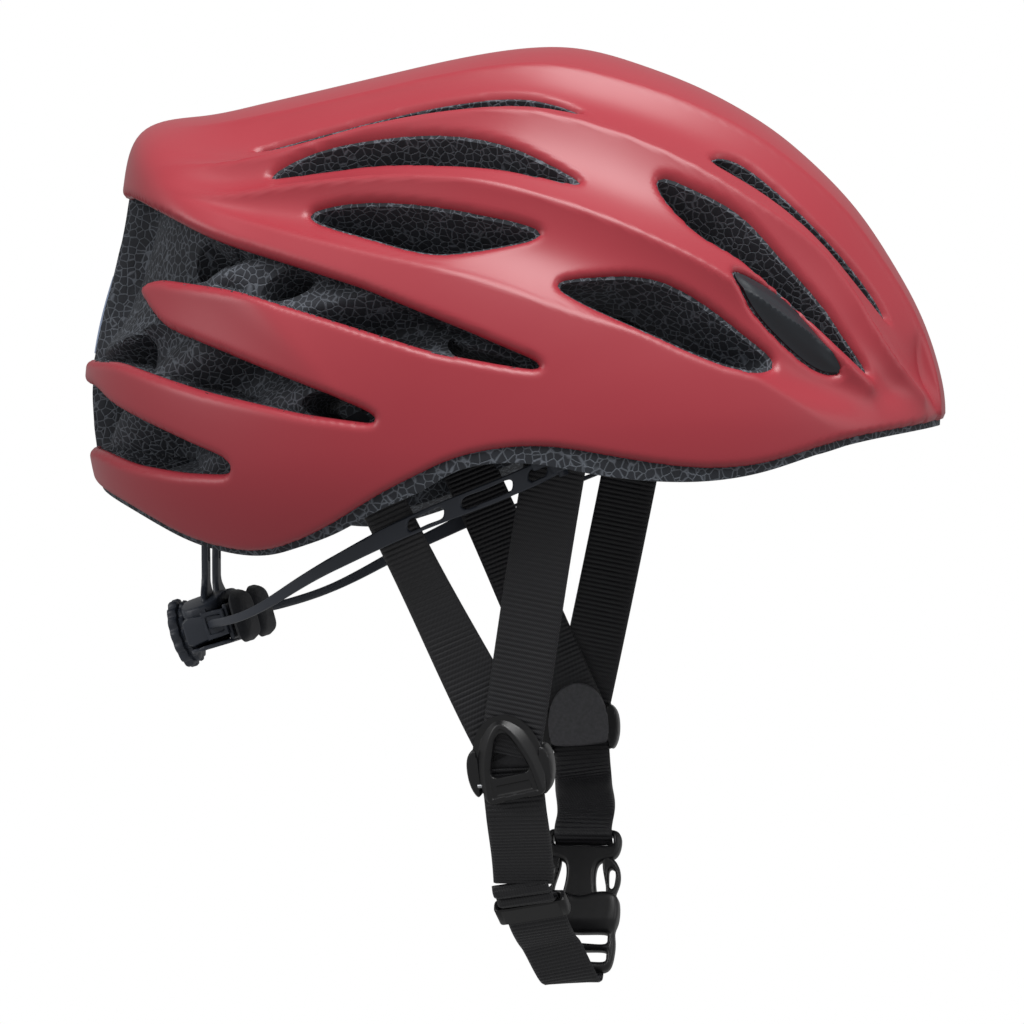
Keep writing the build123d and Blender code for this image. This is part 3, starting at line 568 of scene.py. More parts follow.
# ---- finishes ------------------------------------------------------------------------------
class Finish:
    """Builds a material from a few nodes."""

    def __init__(self, name: str) -> None:
        """Starts the material."""
        self.material = bpy.data.materials.new(name)
        self.material.use_nodes = True
        self.tree = self.material.node_tree
        self.shader = next(n for n in self.tree.nodes if n.type == "BSDF_PRINCIPLED")

    def add(self, kind: str, **values: object) -> bpy.types.Node:
        """Adds a node; a value that is a socket is linked, another is set on the input or the node."""
        node = self.tree.nodes.new(kind)
        for key, value in values.items():
            name = key.replace("_", " ")
            if hasattr(node, key) and name not in node.inputs:
                setattr(node, key, value)
                continue
            socket = node.inputs[int(key[3:])] if key.startswith("in_") else node.inputs[name]
            if isinstance(value, bpy.types.NodeSocket):
                self.tree.links.new(value, socket)
            else:
                socket.default_value = value
        return node

    def set(self, **values: object) -> None:
        """Sets or links inputs of the surface shader, named with underscores for spaces."""
        for key, value in values.items():
            socket = self.shader.inputs[key.replace("_", " ")]
            if isinstance(value, bpy.types.NodeSocket):
                self.tree.links.new(value, socket)
            else:
                socket.default_value = value

    def place(self) -> bpy.types.NodeSocket:
        """Object coordinates."""
        return self.add("ShaderNodeTexCoord").outputs["Object"]

    def noise(self, scale: float, detail: float = 3.0) -> bpy.types.NodeSocket:
        """Even noise of a given number of cells per metre."""
        return self.add("ShaderNodeTexNoise", Vector=self.place(), Scale=scale,
                        Detail=detail).outputs["Fac"]

    def bump(self, height: bpy.types.NodeSocket, depth_mm: float, strength: float = 1.0) -> None:
        """Bumps the surface by a height map of a given depth."""
        node = self.add("ShaderNodeBump", Height=height, Distance=depth_mm * MM, Strength=strength)
        self.set(Normal=node.outputs["Normal"])

    def between(self, low: float, high: float, amount: bpy.types.NodeSocket) -> bpy.types.NodeSocket:
        """Remaps 0..1 to low..high."""
        node = self.add("ShaderNodeMapRange", Value=amount)
        node.inputs["To Min"].default_value = low
        node.inputs["To Max"].default_value = high
        return node.outputs["Result"]

    def blend(self, first: str, second: str, amount: bpy.types.NodeSocket) -> bpy.types.NodeSocket:
        """Mixes two sRGB colours."""
        node = self.add("ShaderNodeMix", data_type="RGBA")
        node.inputs[6].default_value = linear(first)
        node.inputs[7].default_value = linear(second)
        self.tree.links.new(amount, node.inputs["Factor"])
        return node.outputs[2]


class MattRedShell(Finish):
    """Thermoformed polycarbonate with a matt clear coat: soft highlights, pink at the ridges."""

    base = "#9A2A35"
    fresh = "#A12E3A"

    def __init__(self) -> None:
        """Builds the finish."""
        super().__init__("matt_red_shell")
        cloud = self.noise(9.0, 2.0)
        self.set(Base_Color=self.blend(self.base, self.fresh, cloud))
        self.set(Roughness=self.between(0.40, 0.46, self.noise(60.0)), Coat_Weight=0.25,
                 Coat_Roughness=0.32)
        self.bump(self.noise(2600.0, 2.0), 0.012, 0.5)


class BeadFoam(Finish):
    """Moulded EPS: fused beads about 2.6 mm across with paler seams, rough and matt."""

    bead = "#2E3137"
    seam = "#666B73"
    bead_mm = 2.6

    def __init__(self, name: str = "bead_foam", relief: float = 0.22) -> None:
        """Builds the finish with a given relief in mm."""
        super().__init__(name)
        cells = 1.0 / (self.bead_mm * MM)
        wobble = self.add("ShaderNodeTexNoise", Vector=self.place(), Scale=cells * 0.8, Detail=2.0)
        bent = self.add("ShaderNodeVectorMath", operation="MULTIPLY_ADD")
        self.tree.links.new(wobble.outputs["Color"], bent.inputs[0])
        bent.inputs[1].default_value = (0.9 * MM,) * 3
        self.tree.links.new(self.place(), bent.inputs[2])
        seams = self.add("ShaderNodeTexVoronoi", feature="DISTANCE_TO_EDGE", Vector=bent.outputs[0],
                         Scale=cells)
        edge = self.add("ShaderNodeMapRange", Value=seams.outputs["Distance"],
                        interpolation_type="SMOOTHSTEP")
        edge.inputs["From Max"].default_value = 0.13
        tone = self.add("ShaderNodeTexVoronoi", feature="F1", Vector=bent.outputs[0], Scale=cells)
        grain = self.add("ShaderNodeMix", data_type="RGBA", blend_type="MULTIPLY")
        grain.inputs["Factor"].default_value = 0.35
        self.tree.links.new(self.blend(self.seam, self.bead, edge.outputs["Result"]), grain.inputs[6])
        grey = self.add("ShaderNodeRGBToBW", Color=tone.outputs["Color"])
        self.tree.links.new(grey.outputs["Val"], grain.inputs[7])
        self.set(Base_Color=grain.outputs[2], Roughness=0.78)
        self.shader.inputs["Specular IOR Level"].default_value = 0.35
        self.bump(edge.outputs["Result"], relief, 0.9)


class SmoothFoam(Finish):
    """The closed skin of the foam where the mould face was polished: no beads, a faint cloudiness."""

    def __init__(self) -> None:
        """Builds the finish."""
        super().__init__("foam_skin")
        self.set(Base_Color=self.blend("#26282C", "#303338", self.noise(220.0)), Roughness=0.55)
        self.bump(self.noise(700.0), 0.06, 0.6)


class MouldedNylon(Finish):
    """Blue-black moulded nylon with a fine grain; thin edges catch a soft line of light."""

    def __init__(self, name: str = "moulded_nylon", colour: str = "#333842", rough: float = 0.42) -> None:
        """Builds the finish in a colour and roughness."""
        super().__init__(name)
        self.set(Base_Color=linear(colour),
                 Roughness=self.between(rough - 0.04, rough + 0.06, self.noise(400.0)))
        self.bump(self.noise(3000.0), 0.01, 0.5)


class GrainedAcetal(Finish):
    """Spark-eroded back face of the moulded plates: a coarse grain, dark grey beside smooth acetal."""

    def __init__(self) -> None:
        """Builds the finish."""
        super().__init__("grained_acetal")
        self.set(Base_Color=self.blend("#38383B", "#58585C", self.noise(900.0, 4.0)), Roughness=0.6)
        self.bump(self.noise(1600.0, 2.0), 0.12, 0.8)


class RibbedWebbing(Finish):
    """Black polyester webbing: the ribs are modelled, this adds the twill of the yarn on each rib, as bumps
    with a painted highlight on the yarn crests and painted shade in the grooves between them.
    """

    yarn_mm = 0.55

    def __init__(self) -> None:
        """Builds the finish."""
        super().__init__("ribbed_webbing")
        uv = self.add("ShaderNodeTexCoord").outputs["UV"]
        split = self.add("ShaderNodeSeparateXYZ", Vector=uv)
        lean = self.add("ShaderNodeMath", operation="MULTIPLY_ADD")
        self.tree.links.new(split.outputs["X"], lean.inputs[0])
        lean.inputs[1].default_value = 0.5
        self.tree.links.new(split.outputs["Y"], lean.inputs[2])
        turns = self.add("ShaderNodeMath", operation="MULTIPLY")
        self.tree.links.new(lean.outputs[0], turns.inputs[0])
        turns.inputs[1].default_value = 2 * math.pi / (self.yarn_mm * MM)
        wave = self.add("ShaderNodeMath", operation="SINE")
        self.tree.links.new(turns.outputs[0], wave.inputs[0])
        height = self.between(0.0, 1.0, self.add("ShaderNodeMapRange", Value=wave.outputs[0]).outputs[0])
        # painted highlight and shade: the twill height colours the yarn crests lighter and the grooves
        # between them darker
        self.set(Base_Color=self.blend("#0B0B0E", "#2A2A30", height), Roughness=0.45, Sheen_Weight=0.04)
        self.bump(height, 0.09, 0.8)


class PadKnit(Finish):
    """Brushed knit over soft foam: dark, with a pale fuzz at grazing angles."""

    def __init__(self) -> None:
        """Builds the finish."""
        super().__init__("pad_knit")
        self.set(Base_Color=self.blend("#101217", "#1D2027", self.noise(1500.0)), Roughness=0.95,
                 Sheen_Weight=0.12, Sheen_Roughness=0.6)
        self.bump(self.noise(1800.0), 0.2, 0.8)


class PlatedSteel(Finish):
    """Zinc plated steel of the screws and pins."""

    def __init__(self) -> None:
        """Builds the finish."""
        super().__init__("plated_steel")
        self.set(Base_Color=linear("#B9BBBE"), Metallic=1.0,
                 Roughness=self.between(0.25, 0.4, self.noise(500.0)))


class ReflectiveFilm(Finish):
    """Pale blue retroreflective film on the spine."""

    def __init__(self) -> None:
        """Builds the finish."""
        super().__init__("reflective_film")
        self.set(Base_Color=linear("#A9B9D6"), Roughness=0.3, Metallic=0.3)


class Palette:
    """Every finish, and which CAD node takes which."""

    def __init__(self) -> None:
        """Makes each finish once."""
        self.shell = MattRedShell().material
        self.foam = BeadFoam().material
        self.foam_skin = SmoothFoam().material
        self.trim = MouldedNylon("satin_trim", "#1E2228", 0.45).material
        self.nylon = MouldedNylon().material
        self.acetal = MouldedNylon("moulded_acetal", "#131315", 0.34).material
        self.grained = GrainedAcetal().material
        self.webbing = RibbedWebbing().material
        self.pad = PadKnit().material
        self.steel = PlatedSteel().material
        self.film = ReflectiveFilm().material

    def dress(self, nodes: dict[str, bpy.types.Object], record: dict) -> None:
        """Gives every CAD node the finish of its material slot."""
        finish = {"shell_red": self.shell, "foam": self.foam, "trim": self.trim, "reflector": self.film,
                  "pad": self.pad, "nylon": self.nylon, "acetal": self.acetal, "webbing": self.webbing,
                  "steel": self.steel}
        for part in record["subparts"]:
            mesh = nodes[part["node"]].data
            mesh.materials.clear()
            mesh.materials.append(finish[part["material_slot"]])


# ---- shell and foam --------------------------------------------------------------------------
class Shell:
    """The red skin: channels between ridge lines, openings with rounded lips, a rolled rim."""

    step = 0.0108
    lip_radius = 2.6
    lip_rows = ((0.25, 0.9), (0.1, 1.7), (-0.6, 2.3), (-1.6, 2.5))  # out and down, mm
    roll_share = 0.8
    tail_corner = np.array([-124.5, 0.0, 113.0])
    tail_out = np.array([-0.943, 0.0, 0.333])
    tail_low = 70.0
    tail_blend = 18.0

    def __init__(self, form: OuterForm, lines: HelmetLines) -> None:
        """Keeps the form and its lines."""
        self.form = form
        self.lines = lines

    def field(self, uv: Array) -> Array:
        """Signed distance to the nearest edge of the skin."""
        points = folded_right(self.form.points(uv))
        value = self.lines.above_rim(points, "shell_rim")
        for opening in self.lines.vents + self.lines.rear + [self.lines.trim_hole]:
            value = np.minimum(value, opening.depth(points))
        return value


    def flatten_tail(self, points: Array) -> Array:
        """Planes off the back of the tail, which gives it crisp edges."""
        beyond = np.maximum((points - self.tail_corner) @ self.tail_out, 0.0)
        beyond = beyond * smooth_step((points[:, 2] - self.tail_low) / self.tail_blend)
        return points - self.tail_out * beyond[:, None]

    def surface(self, patch: Patch) -> Array:
        """The skin's points: the form, less the channels, with the edges rolled down."""
        points = self.form.points(patch.uv)
        folded = folded_right(points)
        near = np.maximum(self.lip_radius - patch.value, 0.0)
        roll = self.lip_radius - np.sqrt(np.maximum(self.lip_radius**2 - near**2, 0.0))
        drop = self.lines.channel(folded) + roll * self.roll_share
        self.normals = self.form.normals(points)
        return self.flatten_tail(points - self.normals * drop[:, None])

    def build(self, finish: bpy.types.Material) -> bpy.types.Object:
        """Makes the skin and stands it in for the CAD shell."""
        patch = Patch(self.form, self.step, self.field)
        points = self.surface(patch)

        def lip(ring: Array, tangent: Array, index: Array, row: int) -> Array:
            """Row of the lip that rolls inwards round an opening."""
            normal = self.normals[index]
            out, down = self.lip_rows[row]
            return ring + unit(np.cross(tangent, normal)) * out - normal * down

        extra, faces = ring_walls(points, patch.loops(), lip, len(self.lip_rows))
        obj = mesh_object("shell_skin", np.vstack([points, extra]), patch.faces + faces)
        obj.data.materials.append(finish)
        LOG.info("shell: %d faces", len(obj.data.polygons))
        return obj


class Foam:
    """The bead foam body: vent walls, rear ribs and scoops, a smooth spine, the head cavity."""

    step = 0.0128
    inset = 1.7
    grow = 0.6
    head = np.array([107.0, 80.0, 107.0])
    head_centre = np.array([-2.0, 0.0, 8.0])
    spine = 16.0
    scoops = [[(-60, 92), (-92, 70.6), (-124, 38), (-140, 15)],
              [(8, 56), (-28, 49), (-76, 32), (-103, 7), (-112, -6)]]
    ribs = [[(-30, 74), (-62, 72), (-104, 52), (-140, 40)],
            [(-10, 64), (-46, 57), (-97, 37), (-126, 13.5), (-140, -6)],
            [(10, 40), (-30, 33), (-62, 20), (-85, 0)]]
    crest = 4.0
    scoop = 14.0
    scoop_edge = 2.0  # mm over which a scoop starts inside its opening
    spine_edge = 5.0
    skin_front = -112.0
    skin_top = 96.0
    wall_rows = (0.05, 0.3, 0.65, 1.0)
    rim_chamfer = {0: (0.3, 1.4), 1: (0.2, 5.5)}  # out and down, mm, by row

    def __init__(self, form: OuterForm, lines: HelmetLines) -> None:
        """Keeps the form and its lines."""
        self.form = form
        self.lines = lines

    def field(self, uv: Array) -> Array:
        """Signed distance to the nearest edge of the foam's outer face."""
        points = folded_right(self.form.points(uv))
        value = self.lines.above_rim(points, "foam_rim")
        for opening in self.lines.vents + self.lines.through:
            value = np.minimum(value, opening.depth(points) + self.grow)
        return value

    def recess(self, folded: Array) -> Array:
        """How deep the ribs and scoops lie inside the rear openings."""
        flat = folded[:, [0, 2]]
        to_rib = np.min([distance_to_line(flat, spline(r, 40), False) for r in self.ribs], axis=0)
        to_scoop = np.min([distance_to_line(flat, spline(s, 40), False) for s in self.scoops], axis=0)
        share = to_rib / np.maximum(to_rib + to_scoop, 1e-6)
        depth = self.crest + self.scoop * smooth_step(share)
        opened = np.max([smooth_step(-o.depth(folded) / self.scoop_edge + 0.2) for o in self.lines.rear],
                        axis=0)
        beside = smooth_step((-folded[:, 1] - self.spine) / self.spine_edge)
        return depth * opened * beside

    def cavity(self, directions: Array) -> Array:
        """Points of the head cavity along directions from the form's centre."""
        start = (self.form.centre - self.head_centre) / self.head
        d = directions / self.head
        near = []
        for flat in (np.array([1.0, 1.0, 1.0]), np.array([1.0, 1.0, 0.0])):
            a = (d**2 * flat).sum(1)
            b = (d * start * flat).sum(1)
            c = float((start**2 * flat).sum()) - 1.0
            near.append((-b + np.sqrt(np.maximum(b * b - a * c, 0.0))) / np.maximum(a, 1e-9))
        dome = self.form.centre + directions * near[0][:, None]
        skirt = self.form.centre + directions * near[1][:, None]
        return np.where((dome[:, 2] >= self.head_centre[2])[:, None], dome, skirt)

    def build(self, finishes: Sequence[bpy.types.Material]) -> bpy.types.Object:
        """Makes the foam body as one closed piece."""
        patch = Patch(self.form, self.step, self.field)
        points = self.form.points(patch.uv, self.inset)
        folded = folded_right(points)
        normals = self.form.normals(points)
        dip = self.lines.channel(folded) + self.recess(folded)
        outer = points - normals * dip[:, None]
        directions = self.form.directions(patch.uv)
        inner = self.cavity(directions)
        rim_value = self.lines.above_rim(folded, "foam_rim")

        def wall(ring: Array, tangent: Array, index: Array, row: int) -> Array:
            """Row of an opening or rim wall."""
            along = ring + (inner[index] - ring) * self.wall_rows[row]
            if row in self.rim_chamfer and float(np.median(rim_value[index])) < 1.0:
                out, down = self.rim_chamfer[row]
                normal = normals[index]
                return ring + unit(np.cross(tangent, normal)) * out - normal * down
            return along

        rings = patch.loops()
        extra, faces = ring_walls(outer, rings, wall, len(self.wall_rows))
        base = len(outer) + len(extra)
        inner_faces = [tuple(base + i for i in reversed(face)) for face in patch.faces]
        obj = mesh_object("foam_body", np.vstack([outer, extra, inner]), patch.faces + faces + inner_faces)
        merge(obj, 0.02)
        for finish in finishes:
            obj.data.materials.append(finish)
        self._assign_skin(obj)
        shade_by_angle(obj, 50.0)
        LOG.info("foam: %d faces", len(obj.data.polygons))
        return obj

    def _assign_skin(self, obj: bpy.types.Object) -> None:
        """Gives the smooth skin finish to the spine."""
        mesh = obj.data
        centres = np.zeros(len(mesh.polygons) * 3)
        mesh.polygons.foreach_get("center", centres)
        centres = centres.reshape(-1, 3) / MM
        spine = np.abs(centres[:, 1]) < self.spine - 3
        spine &= (centres[:, 0] < self.skin_front) & (centres[:, 2] < self.skin_top)
        mesh.polygons.foreach_set("material_index", spine.astype(np.int32))


def select_only(obj: bpy.types.Object) -> None:
    """Makes an object the only selected one, and the active one."""
    bpy.ops.object.select_all(action="DESELECT")
    obj.select_set(True)
    bpy.context.view_layer.objects.active = obj


def merge(obj: bpy.types.Object, distance_mm: float) -> None:
    """Merges vertices that lie on one another."""
    select_only(obj)
    bpy.ops.object.mode_set(mode="EDIT")
    bpy.ops.mesh.select_all(action="SELECT")
    bpy.ops.mesh.remove_doubles(threshold=distance_mm * MM)
    bpy.ops.object.mode_set(mode="OBJECT")


def shade_by_angle(obj: bpy.types.Object, degrees: float) -> None:
    """Smooth shading that keeps edges sharper than an angle."""
    select_only(obj)
    bpy.ops.object.shade_smooth_by_angle(angle=math.radians(degrees))


# ---- moulded plates and webbing ----------------------------------------------------------------
@dataclass(frozen=True)
class Placement:
    """A local frame in millimetres: origin and three unit directions."""

    origin: Array
    x: Array
    y: Array
    z: Array

    @classmethod
    def of(cls, origin: Sequence[float], x_hint: Sequence[float], z: Sequence[float]) -> "Placement":
        """Frame from its normal and roughly where x points."""
        normal = unit(np.asarray(z, float))
        hint = np.asarray(x_hint, float)
        across = unit(hint - normal * float(hint @ normal))
        return cls(np.asarray(origin, float), across, np.cross(normal, across), normal)

    def at(self, local: Array) -> Array:
        """World points of local points."""
        p = np.atleast_2d(np.asarray(local, float))
        return self.origin + p[:, :1] * self.x + p[:, 1:2] * self.y + p[:, 2:3] * self.z

    def moved(self, x: float = 0.0, y: float = 0.0, z: float = 0.0) -> "Placement":
        """The same frame at another local point."""
        return Placement(self.at([x, y, z])[0], self.x, self.y, self.z)

    def turned(self, degrees: float) -> "Placement":
        """The same frame turned about its own z."""
        c, s = math.cos(math.radians(degrees)), math.sin(math.radians(degrees))
        return Placement(self.origin, self.x * c + self.y * s, self.y * c - self.x * s, self.z)


class MouldedPlate:
    """A plate of any outline with rounded edges, holes, and faces that may be domed."""

    def __init__(self, outline: Sequence, top: float | Callable[[Array, Array], Array],
                 bottom: float | Callable[[Array, Array], Array], holes: Sequence[Sequence] = (),
                 edge: float = 0.5, step: float = 0.5, curved: bool = True) -> None:
        """Describes the plate.

        Args:
            outline: corners of the outline in mm.
            top: height of the upper face, or a function of local points and edge distance.
            bottom: the same for the lower face.
            holes: corners of each hole.
            edge: radius of the rounded edges.
            step: spacing of the mesh.
            curved: whether the outline is a smooth curve through its corners.
        """
        self.top, self.bottom, self.edge, self.step = top, bottom, edge, step
        self.outline = spline(outline, 160, True) if curved else np.asarray(outline, float)
        self.holes = [spline(h, 80, True) if curved else np.asarray(h, float) for h in holes]

    def _field(self, uv: Array) -> Array:
        """Signed distance to the nearest edge of the plate."""
        away = distance_to_line(uv, self.outline, True, 50.0)
        value = np.where(inside(uv, self.outline), away, -away)
        for hole in self.holes:
            gap = distance_to_line(uv, hole, True, 50.0)
            value = np.minimum(value, np.where(inside(uv, hole), -gap, gap))
        return value

    def build(self, name: str, mapping: Callable[[Array], Array],
              finish: bpy.types.Material) -> bpy.types.Object:
        """Makes the plate where mapping puts local points."""
        low, high = self.outline.min(0), self.outline.max(0)
        window = (low[0] - 1, high[0] + 1, low[1] - 1, high[1] + 1)
        patch = Patch(None, self.step, self._field, window, limit=None)
        near = np.maximum(self.edge - patch.value, 0.0)
        roll = self.edge - np.sqrt(np.maximum(self.edge**2 - near**2, 0.0))
        top = (self.top(patch.uv, patch.value) if callable(self.top)
               else np.full(len(patch.uv), float(self.top)))
        bottom = (self.bottom(patch.uv, patch.value) if callable(self.bottom)
                  else np.full(len(patch.uv), float(self.bottom)))
        half = np.maximum((top - bottom) / 2 - 0.02, 0.01)
        roll = np.minimum(roll, half)
        upper = mapping(np.column_stack([patch.uv, top - roll]))
        lower = mapping(np.column_stack([patch.uv, bottom + roll]))
        obj = mesh_object(name, np.vstack([upper, lower]), patch.slab_faces())
        obj.data.materials.append(finish)
        recalculate(obj)
        shade_by_angle(obj, 40.0)
        return obj


def recalculate(obj: bpy.types.Object) -> None:
    """Turns every face outwards."""
    select_only(obj)
    bpy.ops.object.mode_set(mode="EDIT")
    bpy.ops.mesh.select_all(action="SELECT")
    bpy.ops.mesh.normals_make_consistent(inside=False)
    bpy.ops.object.mode_set(mode="OBJECT")


def mirror_copy(obj: bpy.types.Object, name: str) -> bpy.types.Object:
    """Copy on the other side of the middle plane."""
    copy = obj.copy()
    copy.data = obj.data.copy()
    copy.name = name
    bpy.context.scene.collection.objects.link(copy)
    copy.data.transform(Matrix.Diagonal((1, -1, 1, 1)))
    copy.data.flip_normals()
    return copy


def skin_faces(rows: int, count: int) -> list[tuple[int, ...]]:
    """Faces round rows of count points each, with a cap on the first and the last row."""
    faces: list[tuple[int, ...]] = []
    for row in range(rows - 1):
        for i in range(count):
            j = (i + 1) % count
            faces.append((row * count + i, row * count + j, (row + 1) * count + j, (row + 1) * count + i))
    faces.append(tuple(reversed(range(count))))
    faces.append(tuple(range((rows - 1) * count, rows * count)))
    return faces


def turned_solid(name: str, profile: Sequence[tuple[float, float]], place: Placement,
                 finish: bpy.types.Material,
                 around: Callable[[Array], Array] | None = None, segments: int = 96) -> bpy.types.Object:
    """Solid of revolution about the place's z.

    Args:
        name: name of the object.
        profile: radius and height pairs from the axis out and back to the axis.
        place: where it stands.
        finish: its material.
        around: share of the radius at each angle, for scallops.
        segments: how many steps round.

    Returns:
        The object.
    """
    angle = np.linspace(0, 2 * math.pi, segments, endpoint=False)
    share = around(angle) if around else np.ones(segments)
    rows = []
    for radius, height in profile:
        soft = 1.0 + (share - 1.0) * min(1.0, radius / max(p[0] for p in profile)) ** 6
        rows.append(np.column_stack([radius * soft * np.cos(angle), radius * soft * np.sin(angle),
                                     np.full(segments, height)]))
    obj = mesh_object(name, place.at(np.vstack(rows)), skin_faces(len(profile), segments))
    obj.data.materials.append(finish)
    recalculate(obj)
    shade_by_angle(obj, 32.0)
    return obj


def lofted(name: str, sections: Sequence[Array], finish: bpy.types.Material,
           bevel_mm: float) -> bpy.types.Object:
    """Closed solid through sections of equal point count, with its sharp edges bevelled."""
    obj = mesh_object(name, np.vstack(sections), skin_faces(len(sections), len(sections[0])))
    obj.data.materials.append(finish)
    recalculate(obj)
    modifier = obj.modifiers.new("bevel", "BEVEL")
    modifier.width, modifier.segments = bevel_mm * MM, 3
    modifier.limit_method, modifier.angle_limit = "ANGLE", math.radians(28)
    select_only(obj)
    bpy.ops.object.modifier_apply(modifier="bevel")
    shade_by_angle(obj, 35.0)
    return obj


@dataclass(frozen=True)
class Webbing:
    """Woven polyester tape with its cross ribs modelled."""

    width: float = 20.0
    thick: float = 1.3
    rib: float = 1.6
    relief: float = 0.42
    sample: float = 0.27
    selvedge: float = 1.0

    def build(self, name: str, path: Sequence, across: Sequence, finish: bpy.types.Material,
              width: float | None = None) -> bpy.types.Object:
        """Makes a length of tape.

        Args:
            name: name of the object.
            path: points that its middle runs through.
            across: direction of its width at each point of the path, or one for all.
            finish: its material.
            width: another width in mm.

        Returns:
            The tape.
        """
        wide = width or self.width
        p = np.asarray(path, float)
        a = np.asarray(across, float)
        a = np.tile(a, (len(p), 1)) if a.ndim == 1 else a
        dense = spline(np.hstack([p, a * 30.0]), 600)
        run = np.concatenate([[0.0], np.cumsum(np.linalg.norm(np.diff(dense[:, :3], axis=0), axis=1))])
        count = max(4, int(run[-1] / self.sample))
        s = np.linspace(0, run[-1], count)
        line = np.column_stack([np.interp(s, run, dense[:, i]) for i in range(6)])
        centre = line[:, :3]
        along = unit(np.gradient(centre, axis=0))
        side = line[:, 3:] - along * (line[:, 3:] * along).sum(1, keepdims=True)
        side = unit(side)
        up = np.cross(along, side)
        t = np.concatenate([[-1.0, -0.985, -0.95], np.linspace(-0.9, 0.9, 11), [0.95, 0.985, 1.0]])
        profile = np.concatenate([t, t[::-1][1:-1]])
        sign = np.concatenate([np.ones(len(t)), -np.ones(len(t) - 2)])
        edge_fade = np.clip((1 - np.abs(profile)) * wide / 2 / self.selvedge, 0, 1)
        body = np.where(np.abs(profile) > 0.999, 0.0, np.sqrt(np.clip(edge_fade + 0.12, 0, 1)))
        wave = np.abs(np.sin(math.pi * s / self.rib)) ** 0.6
        height = (self.thick / 2 - self.relief) + self.relief * wave[:, None] * edge_fade[None, :]
        offset = sign[None, :] * body[None, :] * height
        vertices = (centre[:, None, :] + side[:, None, :] * (profile * wide / 2)[None, :, None]
                    + up[:, None, :] * offset[:, :, None]).reshape(-1, 3)
        m = len(profile)
        i = np.arange(count - 1)[:, None] * m
        j = np.arange(m)[None, :]
        k = (np.arange(m)[None, :] + 1) % m
        quads = np.stack([i + j, i + k, i + m + k, i + m + j], -1).reshape(-1, 4).tolist()
        faces = quads + [list(range(m))[::-1], list(range((count - 1) * m, count * m))]
        obj = mesh_object(name, vertices, faces)
        layer = obj.data.uv_layers.new(name="UVMap")
        uv = np.column_stack([np.repeat(s, m), np.tile(profile * wide / 2, count)]) * MM
        index = np.zeros(len(obj.data.loops), np.int32)
        obj.data.loops.foreach_get("vertex_index", index)
        layer.data.foreach_set("uv", uv[index].ravel())
        obj.data.materials.append(finish)
        recalculate(obj)
        return obj


